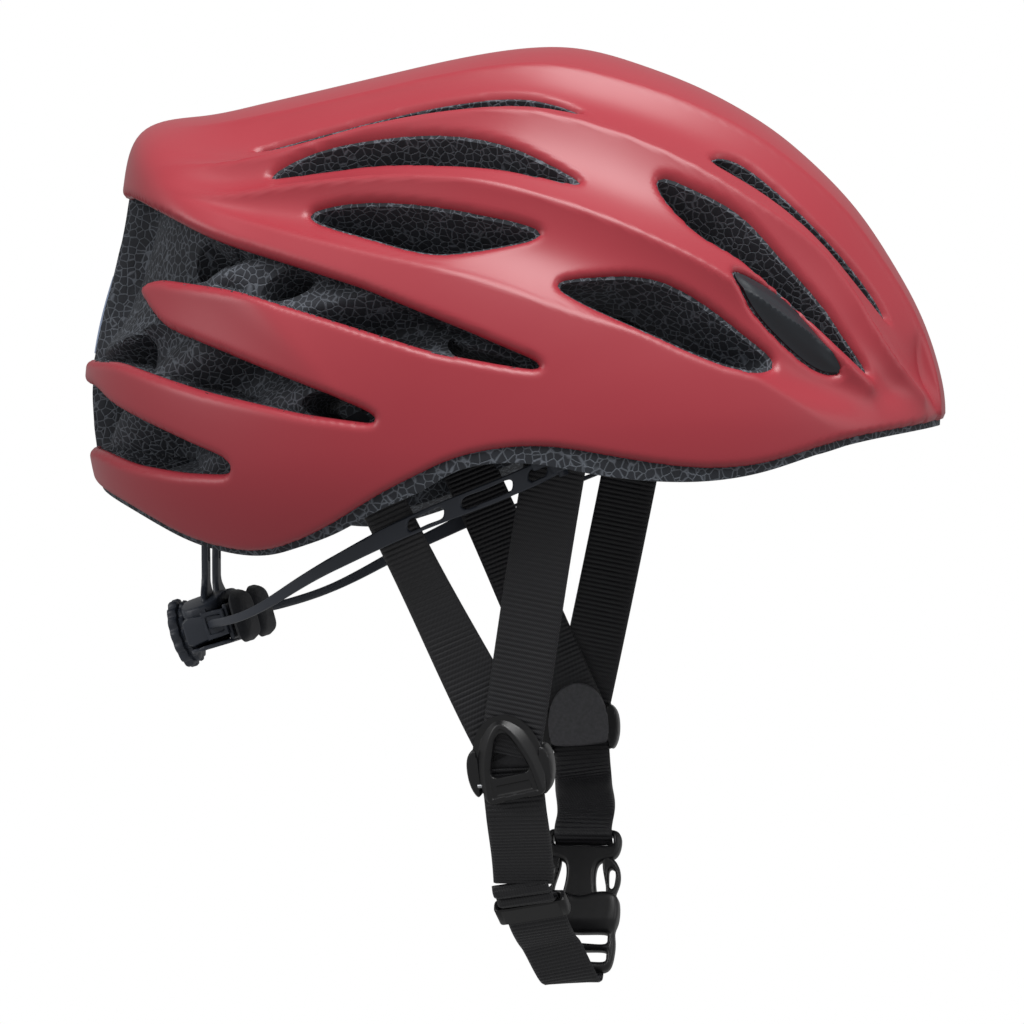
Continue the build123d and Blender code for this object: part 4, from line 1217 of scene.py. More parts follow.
# ---- straps, dividers and buckle ------------------------------------------------------------
class Harness:
    """The strap system: four upper straps, two dividers with cam levers, chin straps, buckle and keeper."""

    front_anchor = np.array([34.0, -81.0, 30.0])
    rear_anchor = np.array([-39.0, -77.0, 16.0])
    divider_point = np.array([12.0, -64.0, -89.0])
    buckle_point = np.array([21.0, 16.0, -142.0])
    buckle_up = np.array([0.0, 0.42022, 0.90742])
    tail_top = np.array([11.5, -34.0, -138.0])
    strap_hold = 0.15  # share of an upper strap that stays with the foam
    stack = 2.2
    lever_thick = 2.6
    fold_gaps = (-4.2, 0.6)
    fold_width = 19.0

    def __init__(self, palette: Palette) -> None:
        """Places the divider and the buckle."""
        self.palette = palette
        self.tape = Webbing()
        to_rear, to_front = self.rear_anchor - self.divider_point, self.front_anchor - self.divider_point
        self.outward = -unit(np.cross(to_rear, to_front))
        self.divider = Placement.of(self.divider_point, (1, 0, 0.09), self.outward)
        self.buckle = Placement(self.buckle_point, np.array([1.0, 0, 0]), self.buckle_up,
                                np.cross([1.0, 0, 0], self.buckle_up))

    def ride_both(self, obj: bpy.types.Object, base: str, body: str) -> None:
        """Puts a right hand piece and its mirrored copy on their bodies and hides the CAD ones."""
        obj.name = f"{base}_visual_{Side.RIGHT.label}"
        copy = mirror_copy(obj, f"{base}_visual_{Side.LEFT.label}")
        for piece, side in ((obj, Side.RIGHT), (copy, Side.LEFT)):
            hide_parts(f"{base}_{side.label}")
            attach(piece, f"{body}_{side.label}" if body != "helmet" else body)

    def upper_straps(self) -> None:
        """Front and rear straps from the foam to the dividers."""
        bow = {"front": 1.6, "rear": 1.0}
        for name, anchor, layer in (("front", self.front_anchor, 1.15), ("rear", self.rear_anchor, -1.15)):
            end = self.divider.at([0.0, 0.5, layer])[0]
            middle = (anchor + end) / 2 + self.outward * bow[name]
            near = self.divider.at([0.0, 0.0, layer])[0] + unit(anchor - end) * 14.0
            along = unit(anchor - end)
            across = np.cross(along, self.outward)
            start = anchor + unit(end - anchor) * 6.0
            twist = [across, across, across, across]
            if name == "rear":
                twist = [across + self.outward * 0.45, across + self.outward * 0.38, across, across]
            obj = self.tape.build(f"{name}_strap", [start, middle, near, end], twist, self.palette.webbing)
            obj.name = f"{name}_strap_visual_right"
            copy = mirror_copy(obj, f"{name}_strap_visual_left")
            for piece, side in ((obj, Side.RIGHT), (copy, Side.LEFT)):
                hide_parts(f"{name}_strap_{side.label}")
                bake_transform(piece)

    def dividers(self) -> None:
        """Base plate with wings, hinge pin and the arched lever with its window and label recess."""
        low = -self.stack - 1.9
        bridge = MouldedPlate([(-12.8, -8.8), (12.8, -8.8), (12.8, -4.2), (-12.8, -4.2)], low + 2.0,
                              low + 0.5,
                              edge=0.3, step=0.5,
                              curved=False).build("bridge", self.divider.at, self.palette.acetal)
        base = MouldedPlate([(-8.4, -10.2), (8.4, -10.2), (10.4, -8.6), (11.0, -3.0), (10.4, 1.0),
                             (8.6, 5.6),
                             (5.4, 9.6), (0.0, 11.4), (-5.4, 9.6), (-8.6, 5.6), (-10.4, 1.0), (-11.0, -3.0),
                             (-10.4, -8.6)], low + 1.9, low, edge=0.6, step=0.5)
        plate = base.build("divider_base", self.divider.at, self.palette.grained)
        ears = []
        for side in (-1, 1):
            outline = [(side * 10.6, -12.2), (side * 12.6, -10.5), (side * 13.9, -5.0), (side * 13.7, -0.5),
                       (side * 12.4, 2.4), (side * 10.6, 3.0)]
            ear = MouldedPlate(outline, self.stack + 1.4, low + 0.2, edge=0.7, step=0.5)
            ears.append(ear.build("ear", self.divider.at, self.palette.acetal))
        self.ride_both(joined([plate, bridge] + ears), "divider_base", "divider")
        pin = turned_solid("divider_pin", [(0.01, -10.8), (0.65, -10.8), (0.75, -10.6), (0.75, 10.6),
                                           (0.65, 10.8), (0.01, 10.8)],
                           Placement(self.divider.at([0, -8.6, self.stack + 1.0])[0], self.divider.y,
                                     self.divider.z, self.divider.x), self.palette.steel, segments=24)
        self.ride_both(pin, "divider_pin", "divider")
        self.ride_both(self._lever(), "divider_lever", "lever")

    def _lever(self) -> bpy.types.Object:
        """The cam lever with its arch, window and label recess."""
        arch = spline([(-8.6, -12.2), (0.0, -12.4), (8.6, -12.2), (9.0, -9.5), (8.0, -2.0), (4.8, 7.0),
                       (1.6, 11.2),
                       (0.0, 11.8), (-1.6, 11.2), (-4.8, 7.0), (-8.0, -2.0), (-9.0, -9.5)], 240, True)
        label = np.array([(-6.2, -10.6), (6.2, -10.6), (5.8, -7.2), (-5.8, -7.2)])

        def crown(uv: Array, away: Array) -> Array:
            """Height of the lever's upper face."""
            off = distance_to_line(uv, arch, True, 30.0)
            within = inside(uv, arch)
            skirt = np.where(within, 0.0, np.minimum(off * 0.85, 2.3))
            ridge = np.where(within, smooth_step((off - 1.1) / 0.5) * 0.55, 0.0)
            recess = smooth_step(np.where(inside(uv, label), distance_to_line(uv, label, True, 9.0),
                                          0) / 0.4) * 0.4
            bow = 0.012 * np.maximum(uv[:, 1], 0.0) ** 2
            return self.stack + self.lever_thick + 0.6 - skirt - ridge - recess - bow

        plate = MouldedPlate([(-9.2, -12.4), (0.0, -12.6), (9.2, -12.4), (10.9, -8.0), (12.0, -2.5),
                              (11.2, 4.0),
                              (8.2, 10.4), (3.6, 14.0), (0.0, 14.6), (-3.6, 14.0), (-8.2, 10.4),
                              (-11.2, 4.0), (-12.0, -2.5), (-10.9, -8.0)], crown, self.stack + 0.1,
                             holes=[[(-5.6, -4.4), (0.0, -4.8), (5.6, -4.4), (6.2, -3.0), (4.4, 2.8),
                                     (2.2, 7.6),
                                     (0.0, 9.0), (-2.2, 7.6), (-4.4, 2.8), (-6.2, -3.0)]], edge=0.45,
                                     step=0.26)
        return plate.build("divider_lever", self.divider.turned(8.0).moved(y=-0.6).at, self.palette.acetal)

    def chin_straps(self) -> None:
        """Webbing below the dividers, the folded stack, and the tail that runs to the ladder lock."""
        d = self.divider
        mirrored = np.array([1.0, -1.0, 1.0])
        start, below = d.at([0, -4.0, 0])[0], d.at([0, -20.0, 0])[0]
        yoke = self.buckle.at([[0, 26.0, 0.6], [0, 20.6, 3.3], [0, 17.6, 3.2], [0, 15.6, 0.6],
                               [0, 15.0, -1.0]])
        left = self.tape.build("chin_strap_visual_left",
                               [start * mirrored, below * mirrored, (below * mirrored + yoke[0]) / 2,
                                *yoke],
                               (1, 0, 0.05), self.palette.webbing)
        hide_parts("chin_strap_left")
        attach(left, "helmet")
        top = self.tail_top
        right_path = [start, d.at([0, -14.0, 0])[0], below, [13.2, -50.5, -121.0], [12.4, -43.0, -129.0],
                      [11.9, -39.2, -133.5]]
        across = np.array([1.0, 0.0, 0.16])
        right = self.tape.build("chin_strap_visual_right", right_path,
                                [[1, 0, 0.09], [1, 0, 0.09], [1, 0, 0.12], across, across, across],
                                self.palette.webbing)
        low = np.array([15.6, -16.5, -156.0])
        down = unit(low - top)
        out = unit(np.cross(across, down))
        out = out if out[1] < 0 else -out
        rolls = [right]
        for gap in self.fold_gaps:
            centre = top + down * gap + out * 0.6
            arc = [centre - down * 2.6 - out * 0.4, centre - down * 1.6 + out * 1.5, centre + out * 2.2,
                   centre + down * 1.6 + out * 1.5, centre + down * 2.6 - out * 0.4]
            rolls.append(self.tape.build("fold", arc, across, self.palette.webbing, width=self.fold_width))
        stack = joined(rolls)
        stack.name = "chin_strap_visual_right"
        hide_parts("chin_strap_right")
        tuple(d.at([0, -20.0, 0])[0] * MM)
        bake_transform(stack)
        lock = self.buckle.at([0, -29.5, -0.5])[0]
        tail = self.tape.build("chin_strap_tail_visual",
                               [top + down * 1.5, top + down * 12.0, (top + low) / 2 + down * 4 + out * 0.8,
                                low, low + [1.2, 3.6, -3.2], lock + [0, -5.5, -3.0], lock],
                               [across, across, across, across, across, [1, 0, 0.08], [1, 0, 0]],
                               self.palette.webbing)
        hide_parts("chin_strap_tail")
        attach(tail, "buckle_half")
        keeper = Placement(top + down * 7.6, unit(across - down * float(across @ down)), out, down)
        rim = [(-12.1, -1.7), (-11.2, -2.7), (0, -2.9), (11.2, -2.7), (12.1, -1.7), (12.1, 1.3),
               (11.2, 2.2), (0, 2.5), (-11.2, 2.2), (-12.1, 1.3)]
        hole = [(-10.4, -1.2), (0, -1.4), (10.4, -1.2), (10.6, 0), (10.4, 0.9), (0, 1.0), (-10.4, 0.9),
                (-10.6, 0)]
        band = MouldedPlate(rim, 3.9, -3.9, holes=[hole], edge=0.5, step=0.4)
        obj = band.build("strap_keeper_visual", keeper.at, self.palette.acetal)
        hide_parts("strap_keeper")
        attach(obj, "keeper")

    def buckle_parts(self) -> None:
        """Side release buckle: yoke, tongue and eyed prongs; the socket with its ladder lock."""
        b, acetal = self.buckle, self.palette.acetal
        yoke = MouldedPlate([(-12.8, 13.0), (-12.3, 18.4), (-8.0, 19.6), (0, 19.8), (8.0, 19.6),
                             (12.3, 18.4),
                             (12.8, 13.0), (10.6, 9.6), (6.4, 8.2), (5.0, 4.0), (5.6, -2.0), (5.8, -10.0),
                             (0, -12.0),
                             (-5.8, -10.0), (-5.6, -2.0), (-5.0, 4.0), (-6.4, 8.2), (-10.6, 9.6)], 2.6,
                             -2.6,
                            holes=[[(-10.2, 14.4), (0, 14.1), (10.2, 14.4), (10.4, 15.8), (10.0, 17.2),
                                    (0, 17.4), (-10.0, 17.2), (-10.4, 15.8)]], edge=1.2, step=0.45)
        obj = yoke.build("buckle_male_visual", b.at, acetal)
        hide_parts("buckle_male")
        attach(obj, "helmet")
        for sign, name in ((1, "front"), (-1, "rear")):
            outline = [(sign * 7.6, 9.6), (sign * 10.8, 9.2), (sign * 13.2, 5.5), (sign * 13.4, 0.5),
                       (sign * 12.3, -4.0), (sign * 11.8, -12.0), (sign * 9.2, -12.6), (sign * 9.0, -3.5),
                       (sign * 8.3, 2.0)]
            eye = [(sign * 9.9, 5.8), (sign * 11.4, 5.4), (sign * 12.0, 2.0), (sign * 11.2, -1.2),
                   (sign * 10.2, -0.8), (sign * 9.6, 2.4)]
            prong = MouldedPlate(outline, 2.0, -2.0, holes=[eye], edge=0.8, step=0.4)
            obj = prong.build(f"buckle_prong_{name}_visual", b.at, acetal)
            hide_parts(f"buckle_prong_{name}")
            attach(obj, f"prong_{name}")
        body = [(-13.6, -5.6), (-12.0, -3.2), (-6.0, -2.9), (0, -4.4), (6.0, -2.9), (12.0, -3.2),
                (13.6, -5.6),
                (13.8, -12.0), (13.0, -16.0), (13.4, -20.0), (13.0, -26.5), (11.0, -30.0), (0, -30.6),
                (-11.0, -30.0), (-13.0, -26.5), (-13.4, -20.0), (-13.0, -16.0), (-13.8, -12.0)]
        slots = [[(-10.6, high), (0, high + 0.2), (10.6, high), (10.8, high - 1.5), (10.6, high - 3.0),
                  (0, high - 3.2), (-10.6, high - 3.0), (-10.8, high - 1.5)] for high in (-17.4, -23.6)]

        def face(uv: Array, away: Array) -> Array:
            """Height of the socket's face."""
            thin = smooth_step((-uv[:, 1] - 12.5) / 5.0)
            return 4.0 - 1.3 * thin + 0.25 * smooth_step(away / 3.0)

        socket = MouldedPlate(body, face, lambda uv, away: -face(uv, away), holes=slots, edge=1.4, step=0.5)
        obj = socket.build("buckle_female_visual", b.at, acetal)
        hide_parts("buckle_female")
        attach(obj, "buckle_half")

    def build(self) -> None:
        """Builds every piece of the harness."""
        self.upper_straps()
        self.dividers()
        self.chin_straps()
        self.buckle_parts()


def joined(objects: Sequence[bpy.types.Object]) -> bpy.types.Object:
    """Joins objects into the first."""
    bpy.ops.object.select_all(action="DESELECT")
    for obj in objects:
        obj.select_set(True)
    bpy.context.view_layer.objects.active = objects[0]
    bpy.ops.object.join()
    return objects[0]


# ---- cradle, dial and arms ----------------------------------------------------------------------
class Cradle:
    """The dial cradle: housing, shield and legs, scalloped knob, rest pads and the two long arms."""

    tilt = 23.9
    temple_x = 30.0
    temple = np.array([temple_x, 0.0, 5.0])
    cradle_x = -102.6
    back = (cradle_x - temple_x) / math.cos(math.radians(tilt))
    loop = 125.0
    spread = 84.0
    rack_angle = 14.0
    eye_angle = 100.0
    rack_offset = 2.6
    case_half = 8.0
    case_length = 21.0  # mm from the middle to either end
    leg_x = -104.2
    leg_top = 0.020  # metres

    def __init__(self, palette: Palette) -> None:
        """Places the arms' plane and the case."""
        self.palette = palette
        slope = math.radians(self.tilt)
        self.arms = Placement.of(self.temple, (math.cos(slope), 0, math.sin(slope)),
                                 (-math.sin(slope), 0, math.cos(slope)))
        rack_x = self.arm_point(np.array([self.rack_angle]))[0, 0]
        axis = unit(np.array([-0.957, 0.0, -0.29]))
        self.case = Placement.of(self.arms.at([rack_x, 0, 0])[0] + axis * self.rack_offset, (0, -1, 0),
                                 axis)
        self.rack_x = rack_x

    def arm_point(self, degrees: Array, out: Array | float = 0.0) -> Array:
        """Points of the right arm's middle line in the arms' plane."""
        turn = np.radians(degrees)
        return np.column_stack([self.back + self.loop - (self.loop + out) * np.cos(turn),
                                -(self.spread + out) * np.sin(turn)])

    def level(self, local: Array) -> Array:
        """Points of a plate that lies level in the case: across, back and up."""
        return self.case.at(np.column_stack([local[:, 0], local[:, 2], local[:, 1]]))

    def arm(self) -> None:
        """The arms: each a tapering band with three windows, an eye and a toothed rack."""
        angle = np.linspace(self.rack_angle, self.eye_angle, 400)
        line = self.arm_point(angle)
        run = np.concatenate([[0], np.cumsum(np.linalg.norm(np.diff(line, axis=0), axis=1))])
        length = run[-1]
        half = np.array([1.35, 1.45, 2.0, 2.8, 3.2, 3.35, 3.35, 2.9])
        share = np.array([0.0, 0.25, 0.45, 0.62, 0.75, 0.85, 0.95, 1.0])
        s = np.linspace(0, length, 40)
        wide = np.interp(s / length, share, half)
        outline = np.vstack([np.column_stack([s, wide]), np.column_stack([s[::-1], -wide[::-1]])])
        windows = []
        for first, last in ((75.5, 81.5), (84.5, 92.5), (95.2, 98.0)):
            a, b = np.interp([first, last], angle, run)
            lean = 1.3
            windows.append([(a, -1.5), ((a + b) / 2, -1.75), (b - lean, -1.7), (b, -0.4), (b + 0.2, 1.4),
                            ((a + b) / 2, 1.75), (a + lean, 1.7), (a - 0.2, 0.2)])

        def onto_loop(local: Array) -> Array:
            """Points of the flat band bent onto the arm's line."""
            at = np.interp(local[:, 0], run, angle)
            base = self.arm_point(at, local[:, 2])
            f = local[:, 0] / length
            sag = -2.6 * np.sin(math.pi * np.clip(f / 0.5, 0, 1)) ** 2 + 1.2 * np.sin(math.pi * np.clip(
                (f - 0.42) / 0.5, 0, 1)) ** 2
            fade = smooth_step(f / 0.12) * smooth_step((1 - f) / 0.12)
            return self.arms.at(np.column_stack([base, local[:, 1] + sag * fade]))

        band = MouldedPlate(outline, 0.65, -0.65, holes=windows, edge=0.45, step=0.42, curved=False)
        band.holes = [spline(w, 60, True) for w in windows]
        pieces = [band.build("arm", onto_loop, self.palette.nylon)]
        eye = self.arm_point(np.array([self.eye_angle]))[0]
        at_eye = Placement(self.arms.at([eye[0], eye[1], 0])[0], self.arms.x, self.arms.y, self.arms.z)
        pieces.append(turned_solid("eye", [(1.7, -2.5), (3.0, -2.5), (3.4, -2.1), (3.4, 2.1), (3.0, 2.5),
                                           (1.7, 2.5)],
                                   at_eye, self.palette.nylon, segments=40))
        start = self.arm_point(np.array([self.rack_angle]))[0, 1]
        for side, high in ((Side.RIGHT, 4.9), (Side.LEFT, -4.9)):
            teeth = [(y, high + (0.8 if i % 2 else 0.35) * -np.sign(high)) for i, y in
                     enumerate(np.arange(start, 12.0, 0.9))]
            flat = [(12.0, high + 0.8 * np.sign(high)), (start, high + 0.8 * np.sign(high))]
            rack = MouldedPlate(teeth + flat, 0.65, -0.65, edge=0.15, step=0.35, curved=False)

            def upright(local: Array) -> Array:
                """Points of the upright plate."""
                return self.arms.at(np.column_stack([self.rack_x + local[:, 2], local[:, 0], local[:, 1]]))

            bar = rack.build("rack", upright, self.palette.nylon)
            if side is Side.RIGHT:
                right_bar = bar
            else:
                bar.data.transform(Matrix.Diagonal((1, -1, 1, 1)))
                bar.data.flip_normals()
                left_bar = bar
        right = joined(pieces)
        left = mirror_copy(right, "arm_visual_left")
        right = joined([right, right_bar])
        right.name = "arm_visual_right"
        left = joined([left, left_bar])
        for piece, side in ((right, Side.RIGHT), (left, Side.LEFT)):
            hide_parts(f"arm_{side.label}")
            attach(piece, f"arm_{side.label}")

    def housing(self) -> None:
        """Winder case that narrows to its ends, with a lower lip plate and the arms' slot frames."""
        sections = []
        for x in np.concatenate([[-21.0, -20.6], np.linspace(-19.5, 19.5, 27), [20.6, 21.0]]):
            f = abs(x) / self.case_length
            rise = 6.9 - 2.6 * f**2.2
            drop = 7.2 - 2.2 * f**2
            back = self.case_half - 0.1 - 1.4 * f**2.5
            front = -self.case_half + 0.6 * f**2
            near_end = 0.35 if abs(x) > 20.8 else 0.0
            ring = [(back - near_end, -drop * 0.82), (back - near_end, rise * 0.72), (back - 2.4, rise),
                    (front + 2.5, rise * 0.72), (front, rise * 0.6), (front, -drop * 0.5),
                    (front + 4.0, -drop * 0.8), (back - 2.0, -drop)]
            sections.append(self.case.at([(x, y, z) for z, y in ring]))
        body = lofted("housing", sections, self.palette.nylon, 0.5)
        lip = MouldedPlate([(-20.0, -7.4), (-14.0, -8.4), (14.0, -8.4), (20.0, -7.4), (20.8, 0.0),
                            (19.5, 5.6),
                            (12.0, 8.0), (0.0, 8.4), (-12.0, 8.0), (-19.5, 5.6), (-20.8, 0.0)],
                           -6.2, -7.6, edge=0.4, step=0.6)

        pieces = [body, lip.build("lip", self.level, self.palette.nylon)]
        for side in (-1, 1):
            frame = MouldedPlate([(-8.6, -4.4), (-1.0, -4.8), (-0.6, 4.8), (-8.4, 4.4)], 1.0, -1.2,
                                 holes=[[(-7.4, -2.9), (-2.2, -3.1), (-2.0, 3.1), (-7.3, 2.9)]], edge=0.3,
                                 step=0.3,
                                 curved=False)

            def end_face(local: Array, s: int = side) -> Array:
                """Points of a plate on the case's end."""
                return self.case.at(np.column_stack([s * (20.6 + local[:, 2]), local[:, 1], local[:, 0]]))

            pieces.append(frame.build("slot_frame", end_face, self.palette.nylon))
        whole = joined(pieces)
        whole.name = "dial_housing_visual"
        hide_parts("dial_housing")
        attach(whole, "cradle")
        cover = MouldedPlate([(-19.5, -6.6), (19.5, -6.6), (19.5, 5.6), (-19.5, 5.6)],
                             -self.case_half - 0.1, -self.case_half - 1.5, edge=0.5,
                             step=0.6, curved=False)
        obj = cover.build("housing_cover_visual", self.case.at, self.palette.nylon)
        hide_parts("housing_cover")
        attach(obj, "cradle")

    def strut(self) -> None:
        """Two flat slotted legs that flare into the shield over the housing."""
        foot = self.case.at([0, 8.2, 0])[0][2]
        shield = MouldedPlate([(-18.5, 5.0), (-14.0, 7.2), (0.0, 8.2), (14.0, 7.2), (18.5, 5.0),
                               (19.5, 0.0),
                              (17.5, -5.0), (10.0, -7.0), (0.0, -7.6), (-10.0, -7.0), (-17.5, -5.0),
                              (-19.5, 0.0)],
                              lambda uv, away: 10.6 - 0.0098 * uv[:, 0] ** 2 - 0.006 * uv[:, 1] ** 2,
                              lambda uv, away: 7.1 - 0.0098 * uv[:, 0] ** 2 - 0.002 * uv[:, 1] ** 2,
                              edge=0.6,
                              step=0.55)

        pieces = [shield.build("shield", self.level, self.palette.nylon)]
        for side in (-1, 1):
            outline = [(side * 6.2, 22.0), (side * 10.8, 22.0), (side * 10.2, 0.0),
                       (side * 9.2, foot + 12.0),
                       (side * 10.0, foot + 6.0), (side * 14.5, foot + 1.2), (side * 14.0, foot - 1.6),
                       (side * 2.2, foot - 1.6), (side * 3.6, foot + 4.0), (side * 4.4, foot + 12.0),
                       (side * 5.6, 0.0)]
            slot = [(side * 6.2, foot + 14), (side * 7.6, foot + 14), (side * 8.2, foot + 24),
                    (side * 7.0, foot + 24)]
            leg = MouldedPlate(outline, 1.1, -1.1, holes=[slot], edge=0.6, step=0.5, curved=False)
            leg.outline = spline(outline, 200, True)

            def upright(local: Array) -> Array:
                """Points of the upright plate."""
                lean = np.clip((foot + 8.0 - local[:, 1]) / 9.0, 0, 1) ** 2 * 2.0
                return np.column_stack([self.leg_x + lean - local[:, 2], local[:, 0], local[:, 1]])

            pieces.append(leg.build("leg", upright, self.palette.nylon))
        whole = joined(pieces)
        whole.name = "yoke_strut_visual"
        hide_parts("yoke_strut")
        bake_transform(whole)

    def knob(self) -> None:
        """Scalloped knob with a second chamfered disc behind it."""
        face = self.case_half + 6.5

        def scallops(angle: Array) -> Array:
            """Share of the radius at each angle."""
            return 1.0 - 0.085 * (0.5 - 0.5 * np.cos(angle * 15)) ** 1.6

        rim = turned_solid("knob", [(0.01, face - 3.6), (10.2, face - 3.6), (11.6, face - 3.3),
                                    (12.0, face - 2.6),
                                    (12.0, face - 0.9), (11.6, face - 0.3), (10.8, face), (7.0, face),
                                    (6.4, face - 0.5), (3.0, face - 0.5), (2.8, face - 0.9),
                                    (0.01, face - 0.9)],
                           self.case, self.palette.nylon, scallops, 240)
        hub = turned_solid("hub", [(0.01, face - 6.2), (8.6, face - 6.2), (10.6, face - 5.4),
                                   (10.9, face - 4.6),
                                   (10.2, face - 3.5), (0.01, face - 3.5)], self.case, self.palette.nylon,
                           scallops, 240)
        whole = joined([rim, hub])
        whole.name = "dial_knob_visual"
        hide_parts("dial_knob")
        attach(whole, "dial")

    def rests(self) -> None:
        """The two small knit pads behind the head."""
        for side in Side:
            x = -side.value * 10.9
            outline = [(x - 10.3, -5.0), (x - 8.0, -8.2), (x, -8.8), (x + 8.0, -8.2), (x + 10.3, -5.0),
                       (x + 10.5, 1.0), (x + 9.5, 6.5), (x + 6.0, 8.8), (x, 9.2), (x - 6.0, 8.8),
                       (x - 9.5, 6.5), (x - 10.5, 1.0)]
            inner = -self.case_half - 2.6
            cushion = MouldedPlate(outline, inner,
                                   lambda uv, away: inner - 2.6 - 2.2 * np.sqrt(np.clip(away / 6.0, 0, 1)),
                                   edge=2.4, step=0.6)
            obj = cushion.build(f"occipital_pad_visual_{side.label}", self.case.at, self.palette.pad)
            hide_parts(f"occipital_pad_{side.label}")
            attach(obj, "cradle")

    def build(self) -> None:
        """Builds every piece of the cradle."""
        self.arm()
        self.housing()
        self.strut()
        self.knob()
        self.rests()


class Padding:
    """Sewn comfort pads of the cavity, swollen by a cloth simulation from their plain solids."""

    voxel = 1.6
    pressure = 4.0
    last_frame = 20
    furthest = 1.6
    fill = 0.7
    names = ("brow_pad", "crown_pad", "side_pad_right", "side_pad_left")

    def __init__(self, nodes: dict[str, bpy.types.Object], finish: bpy.types.Material) -> None:
        """Keeps the CAD pads and the finish."""
        self.nodes, self.finish = nodes, finish

    def remeshed(self, name: str) -> bpy.types.Object:
        """Even mesh of a pad, drawn in a little so that it can swell."""
        pad = self.nodes[name].copy()
        pad.data = self.nodes[name].data.copy()
        pad.name = f"{name}_visual"
        bpy.context.scene.collection.objects.link(pad)
        select_only(pad)
        merge(pad, 0.02)
        remesh = pad.modifiers.new("remesh", "REMESH")
        remesh.mode, remesh.voxel_size = "VOXEL", self.voxel * MM
        bpy.ops.object.modifier_apply(modifier="remesh")
        soften = pad.modifiers.new("soften", "SMOOTH")
        soften.factor, soften.iterations = 0.5, 6
        bpy.ops.object.modifier_apply(modifier="soften")
        return pad

    def swell(self, pad: bpy.types.Object) -> None:
        """Runs the simulation and keeps each point within reach of where it began."""
        count = len(pad.data.vertices)
        before = np.zeros(count * 3)
        pad.data.vertices.foreach_get("co", before)
        cloth = pad.modifiers.new("cloth", "CLOTH")
        cloth.settings.use_pressure = True
        cloth.settings.uniform_pressure_force = self.pressure
        cloth.settings.effector_weights.gravity = 0.0
        for frame in range(1, self.last_frame + 1):
            bpy.context.scene.frame_set(frame)
        bpy.ops.object.modifier_apply(modifier="cloth")
        bpy.context.scene.frame_set(1)
        after = np.zeros(count * 3)
        pad.data.vertices.foreach_get("co", after)
        move = (after - before).reshape(-1, 3)
        length = np.maximum(np.linalg.norm(move, axis=1, keepdims=True), 1e-9)
        move *= np.minimum(1.0, self.furthest * MM / length)
        pad.data.vertices.foreach_set("co", (before.reshape(-1, 3) + move).ravel())
        pad.data.update()

    def build(self) -> None:
        """Makes the four pads."""
        for name in self.names:
            pad = self.remeshed(name)
            self.swell(pad)
            pad.data.materials.clear()
            pad.data.materials.append(self.finish)
            bpy.ops.object.shade_smooth()
            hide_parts(name)
            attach(pad, "helmet")
            LOG.info("%s: %d points", pad.name, len(pad.data.vertices))


class TrimPlate:
    """Dark leaf plate set into the shell ahead of the side vents, slightly domed."""

    gap = 0.5
    step = 0.006

    def __init__(self, form: OuterForm, lines: HelmetLines) -> None:
        """Keeps the form and its lines."""
        self.form, self.lines = form, lines

    def build(self, finish: bpy.types.Material) -> None:
        """Makes the right plate and its mirrored twin."""
        curve = self.lines.trim_hole.curve
        heading = curve - self.form.centre
        tilt = np.arccos(np.clip(unit(heading)[:, 2], -1, 1))
        bearing = np.arctan2(heading[:, 1], heading[:, 0])
        uv = np.column_stack([tilt * np.cos(bearing), tilt * np.sin(bearing)])
        window = (uv[:, 0].min() - 0.02, uv[:, 0].max() + 0.02, uv[:, 1].min() - 0.02,
                  uv[:, 1].max() + 0.02)
        patch = Patch(self.form, self.step,
                      lambda at: -self.lines.trim_hole.depth(self.form.points(at)) - self.gap,
                      window)
        points = self.form.points(patch.uv)
        normal = self.form.normals(points)
        drop = self.lines.channel(folded_right(points)) + 1.1 - 0.9 * smooth_step(patch.value / 4.0)
        top = points - normal * drop[:, None]
        low = top - normal * 1.6
        obj = mesh_object("trim_plate_visual_right", np.vstack([top, low]), patch.slab_faces())
        obj.data.materials.append(finish)
        recalculate(obj)
        shade_by_angle(obj, 40.0)
        copy = mirror_copy(obj, "trim_plate_visual_left")
        for piece, side in ((obj, Side.RIGHT), (copy, Side.LEFT)):
            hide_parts(f"trim_plate_{side.label}")
            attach(piece, "helmet")


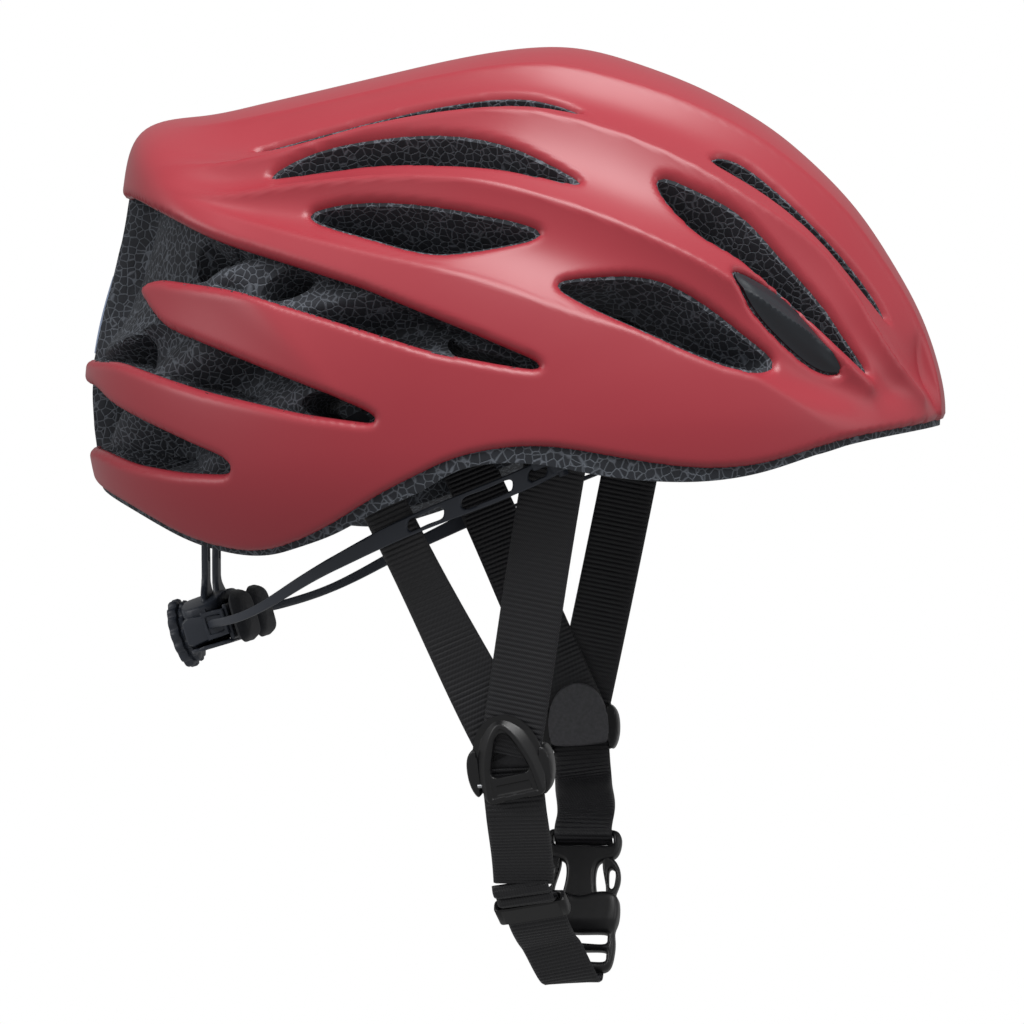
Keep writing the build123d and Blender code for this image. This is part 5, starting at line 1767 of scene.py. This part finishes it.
# ---- studio --------------------------------------------------------------------------------
class Studio:
    """White surroundings and soft lamps, with the camera's three-quarter side view."""

    target = Vector((0.0003, 0.0, -0.0141))
    yaw = 11.0
    rise = 3.0
    distance = 1.35
    sensor = 36.0
    frame_width = 0.344
    ambient = 0.36
    lamps = {  # azimuth and height in degrees, distance and size in metres, watts
        "key": (20.0, 62.0, 1.2, 0.8, 16.0),
        "front_fill": (70.0, 15.0, 1.6, 0.8, 2.5),
        "back_fill": (-70.0, 25.0, 1.6, 0.8, 6.0),
    }

    def aim(self, obj: bpy.types.Object, azimuth: float, height: float, distance: float) -> None:
        """Stands a camera or lamp off the target, facing it; angles are in degrees."""
        yaw, rise = math.radians(azimuth), math.radians(height)
        away = Vector((math.sin(yaw) * math.cos(rise), -math.cos(yaw) * math.cos(rise), math.sin(rise)))
        obj.location = self.target + away * distance
        obj.rotation_euler = (-away).to_track_quat("-Z", "Y").to_euler()

    def camera(self) -> None:
        """Adds the camera."""
        data = bpy.data.cameras.new("camera")
        data.sensor_width = self.sensor
        data.lens = self.sensor * self.distance / self.frame_width
        obj = bpy.data.objects.new("camera", data)
        bpy.context.scene.collection.objects.link(obj)
        self.aim(obj, self.yaw, self.rise, self.distance)
        bpy.context.scene.camera = obj

    def light(self, name: str, azimuth: float, height: float, distance: float, size: float,
              power: float) -> None:
        """Adds a square soft light aimed at the object.

        Args:
            name: name of the light.
            azimuth: degrees round from the camera, positive towards the helmet's front.
            height: degrees above level.
            distance: metres from the object.
            size: metres along each edge.
            power: watts.
        """
        data = bpy.data.lights.new(name, "AREA")
        data.size, data.energy = size, power
        obj = bpy.data.objects.new(name, data)
        bpy.context.scene.collection.objects.link(obj)
        self.aim(obj, self.yaw + azimuth, height, distance)

    def build(self) -> None:
        """Adds the white surroundings, the lamps and the camera."""
        world = bpy.data.worlds.new("studio")
        world.use_nodes = True
        tree = world.node_tree
        ground = tree.nodes["Background"]
        ground.inputs["Color"].default_value = linear("#FFFFFF")
        seen = tree.nodes.new("ShaderNodeLightPath")
        level = tree.nodes.new("ShaderNodeMapRange")
        tree.links.new(seen.outputs["Is Camera Ray"], level.inputs["Value"])
        level.inputs["To Min"].default_value = self.ambient
        level.inputs["To Max"].default_value = 1.0
        tree.links.new(level.outputs["Result"], ground.inputs["Strength"])
        bpy.context.scene.world = world
        for name, lamp in self.lamps.items():
            self.light(name, *lamp)
        self.camera()
        bpy.context.scene.view_settings.view_transform = "Standard"


def main() -> None:
    """Builds the helmet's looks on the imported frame."""
    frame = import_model()
    palette = Palette()
    palette.dress(frame["nodes"], frame["record"])
    form = OuterForm()
    lines = HelmetLines(form)
    shell = Shell(form, lines).build(palette.shell)
    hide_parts("outer_shell")
    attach(shell, "helmet")
    foam = Foam(form, lines).build([palette.foam, palette.foam_skin])
    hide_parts("foam_liner")
    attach(foam, "helmet")
    TrimPlate(form, lines).build(palette.trim)
    Padding(frame["nodes"], palette.pad).build()
    Harness(palette).build()
    Cradle(palette).build()
    Studio().build()


if __name__ == "__main__":
    main()
